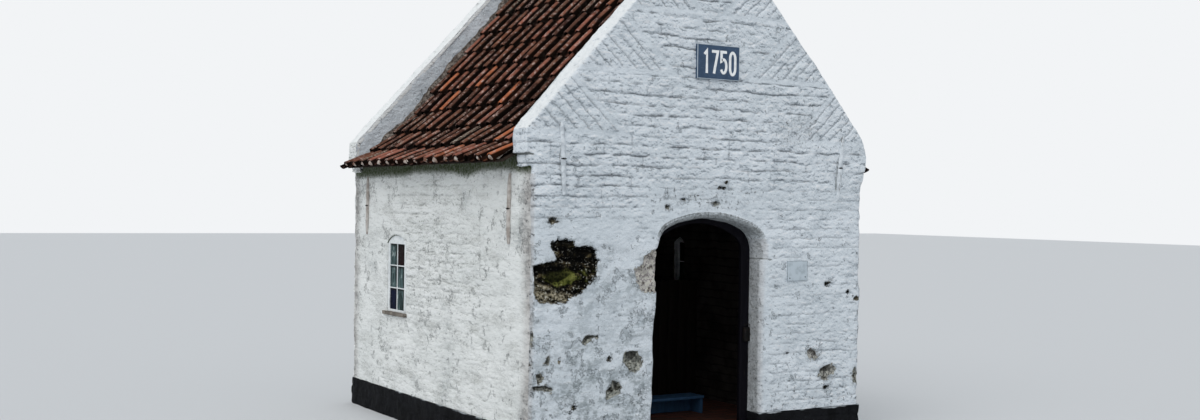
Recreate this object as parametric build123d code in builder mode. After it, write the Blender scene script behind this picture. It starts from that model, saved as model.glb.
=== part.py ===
"""Wayside shrine: a small limewashed brick chapel with a pantiled roof between two raised gables.

All lengths are millimetres. X runs along the front, Y runs back from it and Z is up.
The origin is on the ground at the centre of the plan.
"""
import math
import os

from build123d import *

os.makedirs("parts", exist_ok=True)

# Shell of the building
width = 3000
length = 3310
wall = 195
plinth_height = 232
plinth_proud = 6
floor_level = 55

# Raised gables: the verge line meets the wall corner at shoulder_height
shoulder_height = 2375
verge_pitch = 47.5

# Kneeler blocks at the foot of each verge, with a smaller corbel brick below
kneeler_proud = 57
kneeler_drop = 235
kneeler_bond = 120
corbel_proud = 28
corbel_height = 90
corbel_bond = 90

# Doorway: a three-centred arch, measured at the masonry arris
door_half = 482
door_spring = 1457
door_rise = 285
door_side_radius = 200
sill_top = 70
sill_proud = 12

# Timber door frame, set back from the front face and flush with the inner face
reveal = 143
frame_width = 75
rebate_width = 15
rebate_depth = 35

# Ledged door leaf, standing open against the room at rest
leaf_thickness = 28
leaf_gap = 5
leaf_back_gap = 6
leaf_lift = 10
ledge_thickness = 22
ledge_height = 110
ledge_end_gap = 40
lower_ledge_level = 240
upper_ledge_level = 1180

# Strap hinges turning on pintles
pin_radius = 5
pin_play = 0.3
knuckle_radius = 11
knuckle_height = 60
pin_side = 8
pin_back = 15
strap_thickness = 5
strap_height = 38
strap_length = 620
lower_strap_level = 400
upper_strap_level = 1100
pintle_seat = 24
pintle_plate = 60

# Rim lock on the leaf and the iron latch box on the face of the frame
lock_width = 90
lock_height = 110
lock_thickness = 26
lock_level = 820
latch_width = 56
latch_height = 108
latch_proud = 25

# Roof: steep tile slopes whose three lowest courses ease out over the wall head
eaves_drop = 233
tiles_steeper = 1.8
foot_course = 262
foot_easing = (22.3, 13.3, 6.3)
tile_overhang = 190
tile_layer = 60
board_layer = 20
board_overhang = 130

# Columns of pantiles: each tile has a roll along one side and a shallow pan beside it
tile_columns = 16
column_pitch = 182.5
first_roll = 70
roll_width = 90
roll_height = 40
roll_overlap = 1
ridge_tile_radius = 105
ridge_tile_drop = 35

# Roof timbers
ridge_beam_width = 60
ridge_beam_height = 130
rafter_width = 60
rafter_depth = 90
rafter_count = 5
plate_width = 80
plate_height = 80

# Side windows with a shallow arched head, one in each side wall
window_centre = 2345
window_half = 170
window_bottom = 880
window_spring = 1450
window_rise = 70
window_setback = 25
window_frame_depth = 40
window_frame_width = 15
glass_thickness = 4
glass_bite = 5
window_sill_height = 30
window_sill_beyond = 60
window_sill_proud = 20

# Wall anchors: flat iron bars held by a round pin
anchor_height = 500
anchor_width = 48
anchor_thickness = 14
anchor_pin_radius = 20
anchor_pin_proud = 22
anchor_from_corner = 235
anchor_drop = 265
side_anchor_from_corner = 335
side_anchor_drop = 615

# Plates on the front
date_plate_width = 386
date_plate_height = 254
date_plate_thickness = 20
date_plate_offset = 44
date_plate_drop = 1152
notice_width = 200
notice_height = 155
notice_thickness = 6
notice_offset = 838
notice_level = 1306

# Kneeling bench and boarded screen inside
bench_front = 1090
bench_length = 1540
bench_depth = 200
bench_height = 150
bench_board = 24
bench_end_inset = 20
screen_front = 1950
screen_height = 1065
screen_board = 20
screen_rail_height = 70
screen_rail_depth = 30
screen_rail_level = 120

# Places that follow from the sizes above
half_width = width / 2
half_length = length / 2
inner_x = half_width - wall
inner_y = half_length - wall
verge_tan = math.tan(math.radians(verge_pitch))
tile_pitch = verge_pitch + tiles_steeper
foot_pitches = [tile_pitch - easing for easing in foot_easing]
apex_height = shoulder_height + half_width * verge_tan
kneeler_bottom = shoulder_height - kneeler_drop
anchor_level = shoulder_height - anchor_drop
side_anchor_level = shoulder_height - side_anchor_drop
date_plate_level = apex_height - date_plate_drop
ledge_levels = (lower_ledge_level, upper_ledge_level)
strap_levels = (lower_strap_level, upper_strap_level)
frame_y = reveal - half_length
inner_face_y = wall - half_length


def facing(y):
    """Upright plane seen from the front, at depth y; an extrusion on it runs towards the front."""
    return Plane.XZ.offset(-y)


def sideways(x):
    """Upright plane along the building at x; an extrusion on it runs towards +X."""
    return Plane.YZ.offset(x)


def verge_z(x):
    """Height of the verge line above a place x on the front."""
    return apex_height - abs(x) * verge_tan


def roof_line(depth, overhang):
    """Line that lies depth below the left tile surface, from an overhang at the eaves up to the ridge."""
    pitches = [math.radians(pitch) for pitch in (*foot_pitches, tile_pitch)]
    x, z = -half_width - tile_overhang, shoulder_height - eaves_drop
    eaves_x = -half_width - overhang
    line = [(eaves_x, z + (eaves_x - x) * math.tan(pitches[0]) - depth / math.cos(pitches[0]))]
    for lower, upper in zip(pitches, pitches[1:]):
        x += foot_course * math.cos(lower)
        z += foot_course * math.sin(lower)
        middle = (lower + upper) / 2
        slant = depth / math.cos((upper - lower) / 2)
        line.append((x + slant * math.sin(middle), z - slant * math.cos(middle)))
    line.append((0, z - x * math.tan(pitches[-1]) - depth / math.cos(pitches[-1])))
    return line


def line_z(line, x):
    """Height of such a line at a place x on either side of the centre."""
    for (x0, z0), (x1, z1) in zip(line, line[1:]):
        if -abs(x) <= x1:
            return z0 + (-abs(x) - x0) * (z1 - z0) / (x1 - x0)
    return line[-1][1]


def line_between(line, outer, inner):
    """The part of such a line between two distances from the centre, as distances and heights."""
    between = [(-x, z) for x, z in line if inner < -x < outer]
    return [(outer, line_z(line, outer)), *between, (inner, line_z(line, inner))]


def rect_slab(x0, x1, y0, y1, z0, z1):
    """A box between two corners, added to the part that is being built."""
    with Locations(((x0 + x1) / 2, (y0 + y1) / 2, (z0 + z1) / 2)):
        Box(x1 - x0, y1 - y0, z1 - z0)


def flip(points):
    """The same outline on the other side of the centre line."""
    return [(-x, z) for x, z in points]


def doorway_outline(inset, bottom, centre=0):
    """Closed outline of the doorway, set in from the masonry arris, in the current sketch."""
    flat = door_half - door_side_radius
    above = door_rise - door_side_radius
    centre_drop = (flat ** 2 - above ** 2) / (2 * above)
    crown_radius = door_rise + centre_drop - inset
    turn = math.degrees(math.atan2(centre_drop, flat))
    half = door_half - inset
    with BuildLine() as outline:
        Polyline((centre - half, door_spring), (centre - half, bottom),
                 (centre + half, bottom), (centre + half, door_spring))
        CenterArc((centre + flat, door_spring), door_side_radius - inset, 0, turn)
        CenterArc((centre, door_spring - centre_drop), crown_radius, turn, 180 - 2 * turn)
        CenterArc((centre - flat, door_spring), door_side_radius - inset, 180 - turn, turn)
    make_face(outline.edges())


def window_outline(half, bottom):
    """Closed outline of a window, y across and z up, with a segment of a circle as its head."""
    centre = window_centre - half_length
    rise = window_rise * half / window_half
    with BuildLine() as outline:
        Polyline((centre - half, window_spring), (centre - half, bottom),
                 (centre + half, bottom), (centre + half, window_spring))
        ThreePointArc((centre + half, window_spring), (centre, window_spring + rise),
                      (centre - half, window_spring))
    make_face(outline.edges())


def save(builder, name):
    """Label a finished piece and write it."""
    builder.part.label = name
    export_step(builder.part, f"parts/{name}.step")


# Plinth, tarred black, a little proud of the wall above
face_x = half_width + plinth_proud
face_y = half_length + plinth_proud
for side, start, end in (("left", -face_x, -door_half), ("right", door_half, face_x)):
    with BuildPart() as plinth_front:
        rect_slab(start, end, -face_y, -inner_y, 0, plinth_height)
    save(plinth_front, f"plinth_front_{side}")
with BuildPart() as plinth_rear:
    rect_slab(-face_x, face_x, inner_y, face_y, 0, plinth_height)
save(plinth_rear, "plinth_rear")
for side, start, end in (("left", -face_x, -inner_x), ("right", inner_x, face_x)):
    with BuildPart() as plinth_side:
        rect_slab(start, end, -inner_y, inner_y, 0, plinth_height)
    save(plinth_side, f"plinth_{side}")

# Floor and threshold
with BuildPart() as floor:
    rect_slab(-inner_x, inner_x, -inner_y, inner_y, 0, floor_level)
save(floor, "floor")
with BuildPart() as door_sill:
    rect_slab(-door_half, door_half, -half_length - sill_proud, -inner_y, 0, sill_top)
save(door_sill, "door_sill")

# Front wall beside the doorway, up to the springing of the arch
for side, start, end in (("left", -half_width, -door_half), ("right", door_half, half_width)):
    with BuildPart() as front_wall:
        rect_slab(start, end, -half_length, -inner_y, plinth_height, door_spring)
    save(front_wall, f"front_wall_{side}")


def gable_outline(bottom):
    """Outline of a gable from a level upwards, with seats for the kneelers and their corbels."""
    corbel_bottom = kneeler_bottom - corbel_height
    corbel_x = half_width - corbel_bond
    kneeler_x = half_width - kneeler_bond
    right = [(half_width, bottom), (half_width, corbel_bottom), (corbel_x, corbel_bottom),
             (corbel_x, kneeler_bottom), (kneeler_x, kneeler_bottom), (kneeler_x, verge_z(kneeler_x))]
    with BuildLine() as outline:
        Polyline(*right, (0, apex_height), *reversed(flip(right)), close=True)
    make_face(outline.edges())


# Gable over the doorway, with the arch cut out of it
with BuildPart() as front_gable:
    with BuildSketch(facing(-inner_y)):
        gable_outline(door_spring)
    extrude(amount=wall)
    with BuildSketch(facing(-inner_y)):
        doorway_outline(0, plinth_height)
    extrude(amount=wall, mode=Mode.SUBTRACT)
save(front_gable, "front_gable")

# Rear wall and its gable in one piece
with BuildPart() as rear_wall:
    with BuildSketch(facing(half_length)):
        gable_outline(plinth_height)
    extrude(amount=wall)
save(rear_wall, "rear_wall")

# Kneeler at the foot of each verge, in one piece with its corbel
for end, back in (("front", -inner_y), ("rear", half_length)):
    for side, sign in (("left", -1), ("right", 1)):
        outer = half_width + kneeler_proud
        kneeler_x = half_width - kneeler_bond
        corbel_outer = half_width + corbel_proud
        corbel_x = half_width - corbel_bond
        corbel_bottom = kneeler_bottom - corbel_height
        points = [(corbel_x, corbel_bottom), (corbel_outer, corbel_bottom), (corbel_outer, kneeler_bottom),
                  (outer, kneeler_bottom), (outer, verge_z(outer)), (kneeler_x, verge_z(kneeler_x)),
                  (kneeler_x, kneeler_bottom), (corbel_x, kneeler_bottom)]
        with BuildPart() as kneeler:
            with BuildSketch(facing(back)):
                with BuildLine():
                    Polyline(*[(sign * x, z) for x, z in points], close=True)
                make_face()
            extrude(amount=wall)
        save(kneeler, f"kneeler_{end}_{side}")

# Side walls between the gables, with a window each and a seat for the wall plate
under_tiles = tile_layer + board_layer
under_boards = roof_line(under_tiles, 0)
plate_outer = inner_x + plate_width
plate_top = line_z(under_boards, plate_outer)
plate_bottom = plate_top - plate_height
sill_half = window_half + window_sill_beyond
window_y = window_centre - half_length
for side, sign in (("left", -1), ("right", 1)):
    profile = [(half_width, plinth_height), *line_between(under_boards, half_width, plate_outer),
               (plate_outer, plate_bottom), (inner_x, plate_bottom), (inner_x, plinth_height)]
    outer_plane = sideways(sign * half_width - (wall if sign > 0 else 0))
    with BuildPart() as side_wall:
        with BuildSketch(facing(inner_y)):
            with BuildLine():
                Polyline(*[(sign * x, z) for x, z in profile], close=True)
            make_face()
        extrude(amount=2 * inner_y)
        with BuildSketch(outer_plane):
            window_outline(window_half, window_bottom)
        extrude(amount=wall, mode=Mode.SUBTRACT)
        with BuildSketch(outer_plane):
            with Locations((window_y, window_bottom - window_sill_height / 2)):
                Rectangle(2 * sill_half, window_sill_height)
        extrude(amount=wall, mode=Mode.SUBTRACT)
    save(side_wall, f"{side}_wall")

    frame_plane = sideways(sign * half_width - (window_setback + window_frame_depth if sign > 0
                                                else -window_setback))
    glass_half = window_half - window_frame_width
    glass_bottom = window_bottom + window_frame_width
    with BuildPart() as window_frame:
        with BuildSketch(frame_plane):
            window_outline(window_half, window_bottom)
            with Locations((window_y, (glass_bottom + window_spring) / 2)):
                Rectangle(2 * glass_half, window_spring - glass_bottom, mode=Mode.SUBTRACT)
        extrude(amount=window_frame_depth)
    save(window_frame, f"window_frame_{side}")

    pane_back = window_setback + (window_frame_depth - glass_thickness) / 2
    pane_plane = sideways(sign * half_width - (pane_back + glass_thickness if sign > 0 else -pane_back))
    with BuildPart() as window_glass:
        with BuildSketch(pane_plane):
            with Locations((window_y, (glass_bottom + window_spring) / 2)):
                Rectangle(2 * glass_half, window_spring - glass_bottom)
        extrude(amount=glass_thickness)
    save(window_glass, f"window_glass_{side}")

    sill_outer = half_width + window_sill_proud
    with BuildPart() as window_sill:
        rect_slab(min(sign * inner_x, sign * sill_outer), max(sign * inner_x, sign * sill_outer),
                  window_y - sill_half, window_y + sill_half,
                  window_bottom - window_sill_height, window_bottom)
    save(window_sill, f"window_sill_{side}")

# Wall plates on the inner half of each side wall
with BuildPart() as wall_plates:
    for sign in (-1, 1):
        inner_edge = sign * inner_x
        outer_edge = sign * plate_outer
        rect_slab(min(inner_edge, outer_edge), max(inner_edge, outer_edge),
                  -inner_y, inner_y, plate_bottom, plate_top)
save(wall_plates, "wall_plates")

# Ridge beam from gable to gable, its top cut to the two slopes
beam_side = ridge_beam_width / 2
beam_shoulder = line_z(under_boards, beam_side)
with BuildPart() as ridge_beam:
    with BuildSketch(facing(inner_y)):
        with BuildLine():
            Polyline((-beam_side, beam_shoulder - ridge_beam_height), (beam_side, beam_shoulder - ridge_beam_height),
                     (beam_side, beam_shoulder), under_boards[-1], (-beam_side, beam_shoulder),
                     close=True)
        make_face()
    extrude(amount=2 * inner_y)
save(ridge_beam, "ridge_beam")

# Rafters from the wall plates to the ridge beam, each with the sprocket that eases the foot of the slope
tile_tan = math.tan(math.radians(tile_pitch))
beam_foot = beam_shoulder - rafter_depth / math.cos(math.radians(tile_pitch))
rafter_foot = beam_foot - (inner_x - beam_side) * tile_tan
rafter_span = 2 * inner_y - rafter_width
rafter_pitch = rafter_span / (rafter_count - 1)
with BuildPart() as rafters:
    for sign in (-1, 1):
        outline = [(beam_side, beam_foot), (inner_x, rafter_foot),
                   *line_between(under_boards, inner_x, beam_side)]
        with BuildSketch(facing(rafter_width / 2)) as rafter_side:
            with BuildLine():
                Polyline(*[(sign * x, z) for x, z in outline], close=True)
            make_face()
        with Locations(*[(0, rafter_span / 2 - step * rafter_pitch, 0) for step in range(rafter_count)]):
            add(extrude(rafter_side.sketch, amount=rafter_width, mode=Mode.PRIVATE))
save(rafters, "rafters")


def roof_layer(top, bottom, top_reach, sign, rear_y, length):
    """Extrude the part of one roof slope between two depths below the tile crests, forward from rear_y."""
    upper = roof_line(top, top_reach)
    lower = roof_line(bottom, top_reach)
    with BuildSketch(facing(rear_y)) as section:
        with BuildLine():
            Polyline(*[(-sign * x, z) for x, z in (*upper, *reversed(lower))], close=True)
        make_face()
    extrude(section.sketch, amount=length)


# Boarding and pantiles of both slopes, the rolls at the right of each column as seen from its eaves
for side, sign in (("left", -1), ("right", 1)):
    with BuildPart() as roof_boards:
        roof_layer(tile_layer, under_tiles, board_overhang, sign, inner_y, 2 * inner_y)
    save(roof_boards, f"roof_boards_{side}")
    with BuildPart() as roof_tiles:
        roof_layer(roll_height, tile_layer, tile_overhang, sign, inner_y, 2 * inner_y)
        for column in range(tile_columns):
            near_edge = first_roll + column * column_pitch - inner_y
            rear_edge = near_edge + roll_width if sign < 0 else -near_edge
            roof_layer(0, roll_height + roll_overlap, tile_overhang, sign, rear_edge, roll_width)
    save(roof_tiles, f"roof_tiles_{side}")

# Ridge tiles bedded on the two slopes
tile_surface = roof_line(0, tile_overhang)
ridge_z = tile_surface[-1][1]
ridge_foot = line_z(tile_surface, ridge_tile_radius)
with BuildPart() as ridge_tiles:
    with BuildSketch(facing(inner_y)):
        with Locations((0, ridge_z - ridge_tile_drop)):
            Circle(ridge_tile_radius)
        with BuildLine():
            Polyline((0, ridge_z), (2 * ridge_tile_radius, 2 * ridge_foot - ridge_z),
                     (-2 * ridge_tile_radius, 2 * ridge_foot - ridge_z), close=True)
        make_face(mode=Mode.SUBTRACT)
    extrude(amount=2 * inner_y)
save(ridge_tiles, "ridge_tiles")


def anchor(plane, across, up):
    """One wall anchor on an outward facing plane: a flat bar and the pin that holds it."""
    with BuildSketch(plane) as bar:
        with Locations((across, up)):
            Rectangle(anchor_width, anchor_height)
    extrude(bar.sketch, amount=anchor_thickness)
    with BuildSketch(plane) as pin:
        with Locations((across, up)):
            Circle(anchor_pin_radius)
    extrude(pin.sketch, amount=anchor_pin_proud)


# Wall anchors, two on each face
front_plane = facing(-half_length)
rear_plane = Plane(origin=(0, half_length, 0), x_dir=(-1, 0, 0), z_dir=(0, 1, 0))
left_plane = Plane(origin=(-half_width, 0, 0), x_dir=(0, -1, 0), z_dir=(-1, 0, 0))
right_plane = Plane(origin=(half_width, 0, 0), x_dir=(0, 1, 0), z_dir=(1, 0, 0))
end_anchor = half_width - anchor_from_corner
side_anchor = half_length - side_anchor_from_corner
for face, plane, across, up in (("front", front_plane, end_anchor, anchor_level),
                                ("rear", rear_plane, end_anchor, anchor_level),
                                ("left", left_plane, side_anchor, side_anchor_level),
                                ("right", right_plane, side_anchor, side_anchor_level)):
    with BuildPart() as anchors:
        anchor(plane, -across, up)
        anchor(plane, across, up)
    save(anchors, f"anchors_{face}")

# Date plate and notice plaque on the front
for name, offset, level, across, tall, thick in (
        ("date_plate", date_plate_offset, date_plate_level, date_plate_width, date_plate_height,
         date_plate_thickness),
        ("notice_plaque", notice_offset, notice_level, notice_width, notice_height, notice_thickness)):
    with BuildPart() as plate:
        rect_slab(offset - across / 2, offset + across / 2, -half_length - thick, -half_length,
                  level - tall / 2, level + tall / 2)
    save(plate, name)

# Door frame with a rebate on the room side
with BuildPart() as door_frame:
    with BuildSketch(facing(inner_face_y)):
        doorway_outline(0, sill_top)
    extrude(amount=wall - reveal)
    with BuildSketch(facing(inner_face_y)):
        doorway_outline(frame_width, sill_top)
    extrude(amount=wall - reveal, mode=Mode.SUBTRACT)
    with BuildSketch(facing(inner_face_y)):
        doorway_outline(frame_width - rebate_width, sill_top)
    extrude(amount=rebate_depth, mode=Mode.SUBTRACT)
save(door_frame, "door_frame")

# Hinge line of the leaf: the leaf stands square to the front at rest
leaf_inset = frame_width - rebate_width + leaf_gap
leaf_half = door_half - leaf_inset
pin_x = -leaf_half - pin_side
pin_y = inner_face_y + pin_back
leaf_outer = rebate_depth - leaf_back_gap + pin_back
leaf_inner = leaf_outer - leaf_thickness
leaf_bottom = sill_top + leaf_lift


def leaf_plane(offset):
    """Plane of the open leaf: its x runs from the hinge line into the room, its y is up."""
    return Plane(origin=(pin_x + offset, pin_y, 0), x_dir=(0, 1, 0), z_dir=(1, 0, 0))


def on_leaf(near, far, face, thick, low, high):
    """A box fixed on the room side of the leaf, between two distances from the hinge line."""
    rect_slab(pin_x + face - thick, pin_x + face, pin_y + near, pin_y + far, low, high)


with BuildPart() as door_leaf:
    with BuildSketch(leaf_plane(leaf_inner)):
        doorway_outline(leaf_inset, leaf_bottom, -pin_x)
    extrude(amount=leaf_thickness)
save(door_leaf, "door_leaf")

leaf_far = pin_side + 2 * leaf_half
with BuildPart() as door_ledges:
    for level in ledge_levels:
        on_leaf(pin_side + ledge_end_gap, leaf_far - ledge_end_gap, leaf_inner, ledge_thickness,
                level, level + ledge_height)
save(door_ledges, "door_ledges")

# Strap hinges with their knuckles, and the rim lock
with BuildPart() as door_ironwork:
    for level in strap_levels:
        low = level - strap_height / 2
        high = level + strap_height / 2
        on_leaf(pin_side, strap_length, leaf_inner, strap_thickness, low, high)
        with Locations((pin_x, pin_y, level)):
            Cylinder(knuckle_radius, knuckle_height)
        on_leaf(pin_side, knuckle_radius + strap_thickness, leaf_inner, leaf_inner, low, high)
        with Locations((pin_x, pin_y, level)):
            Cylinder(pin_radius + pin_play, knuckle_height, mode=Mode.SUBTRACT)
    on_leaf(leaf_far - lock_width - ledge_end_gap, leaf_far - ledge_end_gap, leaf_inner, lock_thickness,
            lock_level - lock_height / 2, lock_level + lock_height / 2)
save(door_ironwork, "door_ironwork")

# Pintles: a plate on the inner face of the frame that carries the pin below each knuckle
plate_edge = -door_half + frame_width - rebate_width
with BuildPart() as door_pintles:
    for level in strap_levels:
        seat_top = level - knuckle_height / 2 - pin_play
        rect_slab(plate_edge - pintle_plate, plate_edge, inner_face_y, inner_face_y + strap_thickness,
                  seat_top - pintle_seat, seat_top)
        rect_slab(pin_x - knuckle_radius, plate_edge, inner_face_y, pin_y + knuckle_radius,
                  seat_top - pintle_seat, seat_top)
        with Locations((pin_x, pin_y, seat_top)):
            Cylinder(pin_radius, knuckle_height, align=(Align.CENTER, Align.CENTER, Align.MIN))
save(door_pintles, "door_pintles")

# Iron latch box on the front face of the right jamb
latch_right = door_half
with BuildPart() as latch_box:
    rect_slab(latch_right - latch_width, latch_right, frame_y - latch_proud, frame_y,
              lock_level - latch_height / 2, lock_level + latch_height / 2)
save(latch_box, "latch_box")

# Kneeling bench: a top board on two end boards and a back rail
bench_y = bench_front - half_length
bench_top = floor_level + bench_height
bench_half = bench_length / 2
with BuildPart() as kneeling_bench:
    rect_slab(-bench_half, bench_half, bench_y, bench_y + bench_depth, bench_top - bench_board, bench_top)
    for sign in (-1, 1):
        outer_end = sign * bench_half
        inner_end = sign * (bench_half - bench_board)
        rect_slab(min(outer_end, inner_end), max(outer_end, inner_end), bench_y + bench_end_inset,
                  bench_y + bench_depth, floor_level, bench_top - bench_board)
    rect_slab(-bench_half, bench_half, bench_y + bench_depth - bench_board, bench_y + bench_depth,
              floor_level, bench_top - bench_board)
save(kneeling_bench, "kneeling_bench")

# Boarded screen across the room, with a cap rail and a foot rail on its rear side
screen_y = screen_front - half_length
screen_top = floor_level + screen_height
screen_back = screen_y + screen_board
with BuildPart() as altar_screen:
    rect_slab(-inner_x, inner_x, screen_y, screen_back, floor_level, screen_top)
    for low in (floor_level + screen_rail_level, screen_top - screen_rail_height):
        rect_slab(-inner_x, inner_x, screen_back, screen_back + screen_rail_depth, low,
                  low + screen_rail_height)
save(altar_screen, "altar_screen")
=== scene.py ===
# %% [markdown]
# # A limewashed wayside shrine
#
# The shrine is a brick chapel of 3.0 by 3.3 m with tumbled gables, a pantile roof and one door.
# The CAD model gives its plain solid shapes. Here each of them gets its real surface.
# The script works in metres, in the frame of the CAD: +Z is up and the front looks along -Y.

# %% Load the shared frame
import math
from functools import partial
from types import SimpleNamespace

import bpy
import numpy as np
from mathutils import Matrix, Vector


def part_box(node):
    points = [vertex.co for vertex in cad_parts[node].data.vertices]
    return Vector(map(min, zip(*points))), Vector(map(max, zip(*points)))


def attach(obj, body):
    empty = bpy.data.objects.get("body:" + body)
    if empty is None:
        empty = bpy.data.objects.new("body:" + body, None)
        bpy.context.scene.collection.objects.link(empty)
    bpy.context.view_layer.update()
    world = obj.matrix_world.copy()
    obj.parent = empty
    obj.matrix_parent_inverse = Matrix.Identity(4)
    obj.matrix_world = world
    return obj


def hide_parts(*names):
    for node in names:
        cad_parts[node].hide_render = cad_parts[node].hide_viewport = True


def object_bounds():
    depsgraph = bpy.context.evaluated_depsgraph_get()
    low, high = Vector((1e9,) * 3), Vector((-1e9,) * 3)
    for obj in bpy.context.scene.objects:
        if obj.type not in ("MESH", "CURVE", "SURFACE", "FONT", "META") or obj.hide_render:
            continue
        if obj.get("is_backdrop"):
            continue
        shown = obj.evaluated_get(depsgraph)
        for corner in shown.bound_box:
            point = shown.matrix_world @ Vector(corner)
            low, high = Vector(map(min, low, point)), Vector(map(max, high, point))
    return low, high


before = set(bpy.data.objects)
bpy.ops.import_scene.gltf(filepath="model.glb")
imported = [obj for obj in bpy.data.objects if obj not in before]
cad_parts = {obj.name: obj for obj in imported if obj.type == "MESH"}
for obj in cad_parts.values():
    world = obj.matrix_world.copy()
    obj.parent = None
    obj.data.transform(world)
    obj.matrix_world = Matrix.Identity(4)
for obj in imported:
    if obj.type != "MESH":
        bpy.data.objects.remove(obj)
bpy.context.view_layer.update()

# %% [markdown]
# ## Unevenness
#
# Old brickwork, hand-made tiles and thick limewash are never flat or alike.
# All of them take their unevenness from one smooth noise, which is a field in space.
# Two pieces that meet in a corner then read the same value there, so they stay joined.

# %% Smooth noise in space
def noise(points, size, seed=0):
    """Value noise from -1 to 1. Each corner of a lattice of this size has a random value,
    and a point takes the mean of the eight round it, weighted by the curve 3t2 - 2t3."""
    place = np.asarray(points, float) / size + 31.7 * (seed + 1)
    cell = np.floor(place)
    t = place - cell
    t = t * t * (3 - 2 * t)
    total = np.zeros(len(place))
    for corner in np.ndindex(2, 2, 2):
        value = np.sin((cell + corner) @ (127.1, 311.7, 74.7)) * 43758.5453
        weight = np.prod(np.where(np.array(corner), t, 1 - t), axis=1)
        total += weight * (2 * (value - np.floor(value)) - 1)
    return total


def shiver(points, high, size, seed):
    """A small push in all three directions, each from its own noise times a height."""
    return high * np.column_stack([noise(points, size, seed + k) for k in range(3)])


def ease(low, high, value):
    """0 below low, 1 above high, and the curve 3t2 - 2t3 between them."""
    t = np.clip((value - low) / (high - low), 0, 1)
    return t * t * (3 - 2 * t)


def fade(low, high, value):
    """The same curve downwards: 1 below low and 0 above high."""
    return 1 - ease(low, high, value)


# %% [markdown]
# ## Pieces
#
# A piece is one mesh, computed as whole arrays of points and faces.
# It rides on a body of the CAD and stands for the CAD nodes that it replaces.
# Values per point, such as the brick course, go along as attributes that the materials read.

# %% Make one piece from arrays
def add_piece(name, points, faces, materials, body="building", nodes=(),
              values=None, finish=None, crease=38):
    """One mesh object from points and quads. values holds the attributes per point, finish
    the material number per face, and edges sharper than crease degrees stay sharp."""
    mesh = bpy.data.meshes.new(name)
    mesh.vertices.add(len(points))
    mesh.loops.add(faces.size)
    mesh.polygons.add(len(faces))
    mesh.vertices.foreach_set("co", np.asarray(points, np.float32).ravel())
    mesh.loops.foreach_set("vertex_index", faces.ravel().astype(np.int32))
    mesh.polygons.foreach_set("loop_start", np.arange(0, faces.size, 4, dtype=np.int32))
    mesh.update(calc_edges=True)
    mesh.validate()
    mesh.polygons.foreach_set("use_smooth", np.ones(len(mesh.polygons), bool))
    mesh.set_sharp_from_angle(angle=math.radians(crease))
    for key, column in (values or {}).items():
        layer = mesh.attributes.new(key, "FLOAT", "POINT")
        layer.data.foreach_set("value", np.asarray(column, np.float32))
    for material in materials:
        mesh.materials.append(material)
    if finish is not None:
        mesh.polygons.foreach_set("material_index", np.asarray(finish, np.int32))
    piece = bpy.data.objects.new(name, mesh)
    bpy.context.scene.collection.objects.link(piece)
    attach(piece, body)
    if nodes:
        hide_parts(*nodes)
    print(name, len(mesh.polygons), "faces")


half_turn = (-1, -1, 1)


def grid(*axes):
    """Every combination of the axes' values, as one flat array per axis."""
    return [values.ravel() for values in np.meshgrid(*axes, indexing="ij")]


def grid_faces(rows, columns):
    """Quads that join a grid of points, numbered row by row."""
    i, j = grid(np.arange(rows - 1), np.arange(columns - 1))
    a = i * columns + j
    return np.column_stack([a, a + columns, a + columns + 1, a + 1])


def joined(parts):
    """Several (points, faces) in one, with the faces renumbered."""
    shift = np.cumsum([0] + [len(p) for p, f in parts[:-1]])
    return (np.concatenate([p for p, f in parts]),
            np.concatenate([f + s for (p, f), s in zip(parts, shift)]))


# %% [markdown]
# ## Sawn and worked blocks
#
# Planks, bars and stones start as blocks with rounded arrises, because worn wood and stone
# catch a line of light along every edge. The block is a fine grid, so that it can also be
# bent a little or worn by the noise.

# %% A block with rounded arrises
def block(low, high, edge=0.003, step=0.04, wear=0.0, seed=0):
    """Points and quads of a box. Grid points nearer to an edge than its radius move onto
    a ball round the nearest point of the smaller box inside, and wear adds noise."""
    low, high = np.minimum(low, high).astype(float), np.maximum(low, high).astype(float)
    edge = min(edge, (high - low).min() / 2.2)
    lines = []
    for a, b in zip(low, high):
        count = max(2, int(round((b - a) / step)) + 1)
        middle = np.linspace(a + edge, b - edge, count)
        lines.append(np.concatenate([[a, a + 0.3 * edge], middle, [b - 0.3 * edge, b]]))
    parts = []
    for axis in range(3):
        one, two = (axis + 1) % 3, (axis + 2) % 3
        for side, value in ((0, low[axis]), (1, high[axis])):
            points = np.full((len(lines[one]) * len(lines[two]), 3), value)
            points[:, one], points[:, two] = grid(lines[one], lines[two])
            quads = grid_faces(len(lines[one]), len(lines[two]))
            parts.append((points, quads if side else quads[:, ::-1]))
    points, faces = joined(parts)
    core = np.clip(points, low + edge, high - edge)
    away = points - core
    away /= np.maximum(np.linalg.norm(away, axis=1), 1e-9)[:, None]
    welded, first = np.unique((core + edge * away).round(6), axis=0, return_inverse=True)
    if wear:
        welded = welded + shiver(welded, wear, 0.07, seed)
    return welded, first.ravel()[faces]


# %% [markdown]
# ## Material helpers
#
# Every finish is a small node tree on the Principled shader. One function adds any node, and
# the modes that come back often have plain names here. Patterns read the object's own
# coordinates in metres, so a scale is a number of features per metre.

# %% Colours and nodes
main_setting = dict(Math="operation", Mix="data_type", MapRange="interpolation_type",
                    Attribute="attribute_name")
times, plus, minus, times_plus = "Math MULTIPLY", "Math ADD", "Math SUBTRACT", "Math MULTIPLY_ADD"
fold, scurve, blend = "Math PINGPONG", "MapRange SMOOTHSTEP", "Mix RGBA"


def colour(code):
    """An sRGB hex code as the linear colour that a shader takes."""
    srgb = np.array([int(code[i:i + 2], 16) for i in (1, 3, 5)]) / 255
    linear = np.where(srgb <= 0.04045, srgb / 12.92, ((srgb + 0.055) / 1.055) ** 2.4)
    return (*linear, 1.0)


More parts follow.
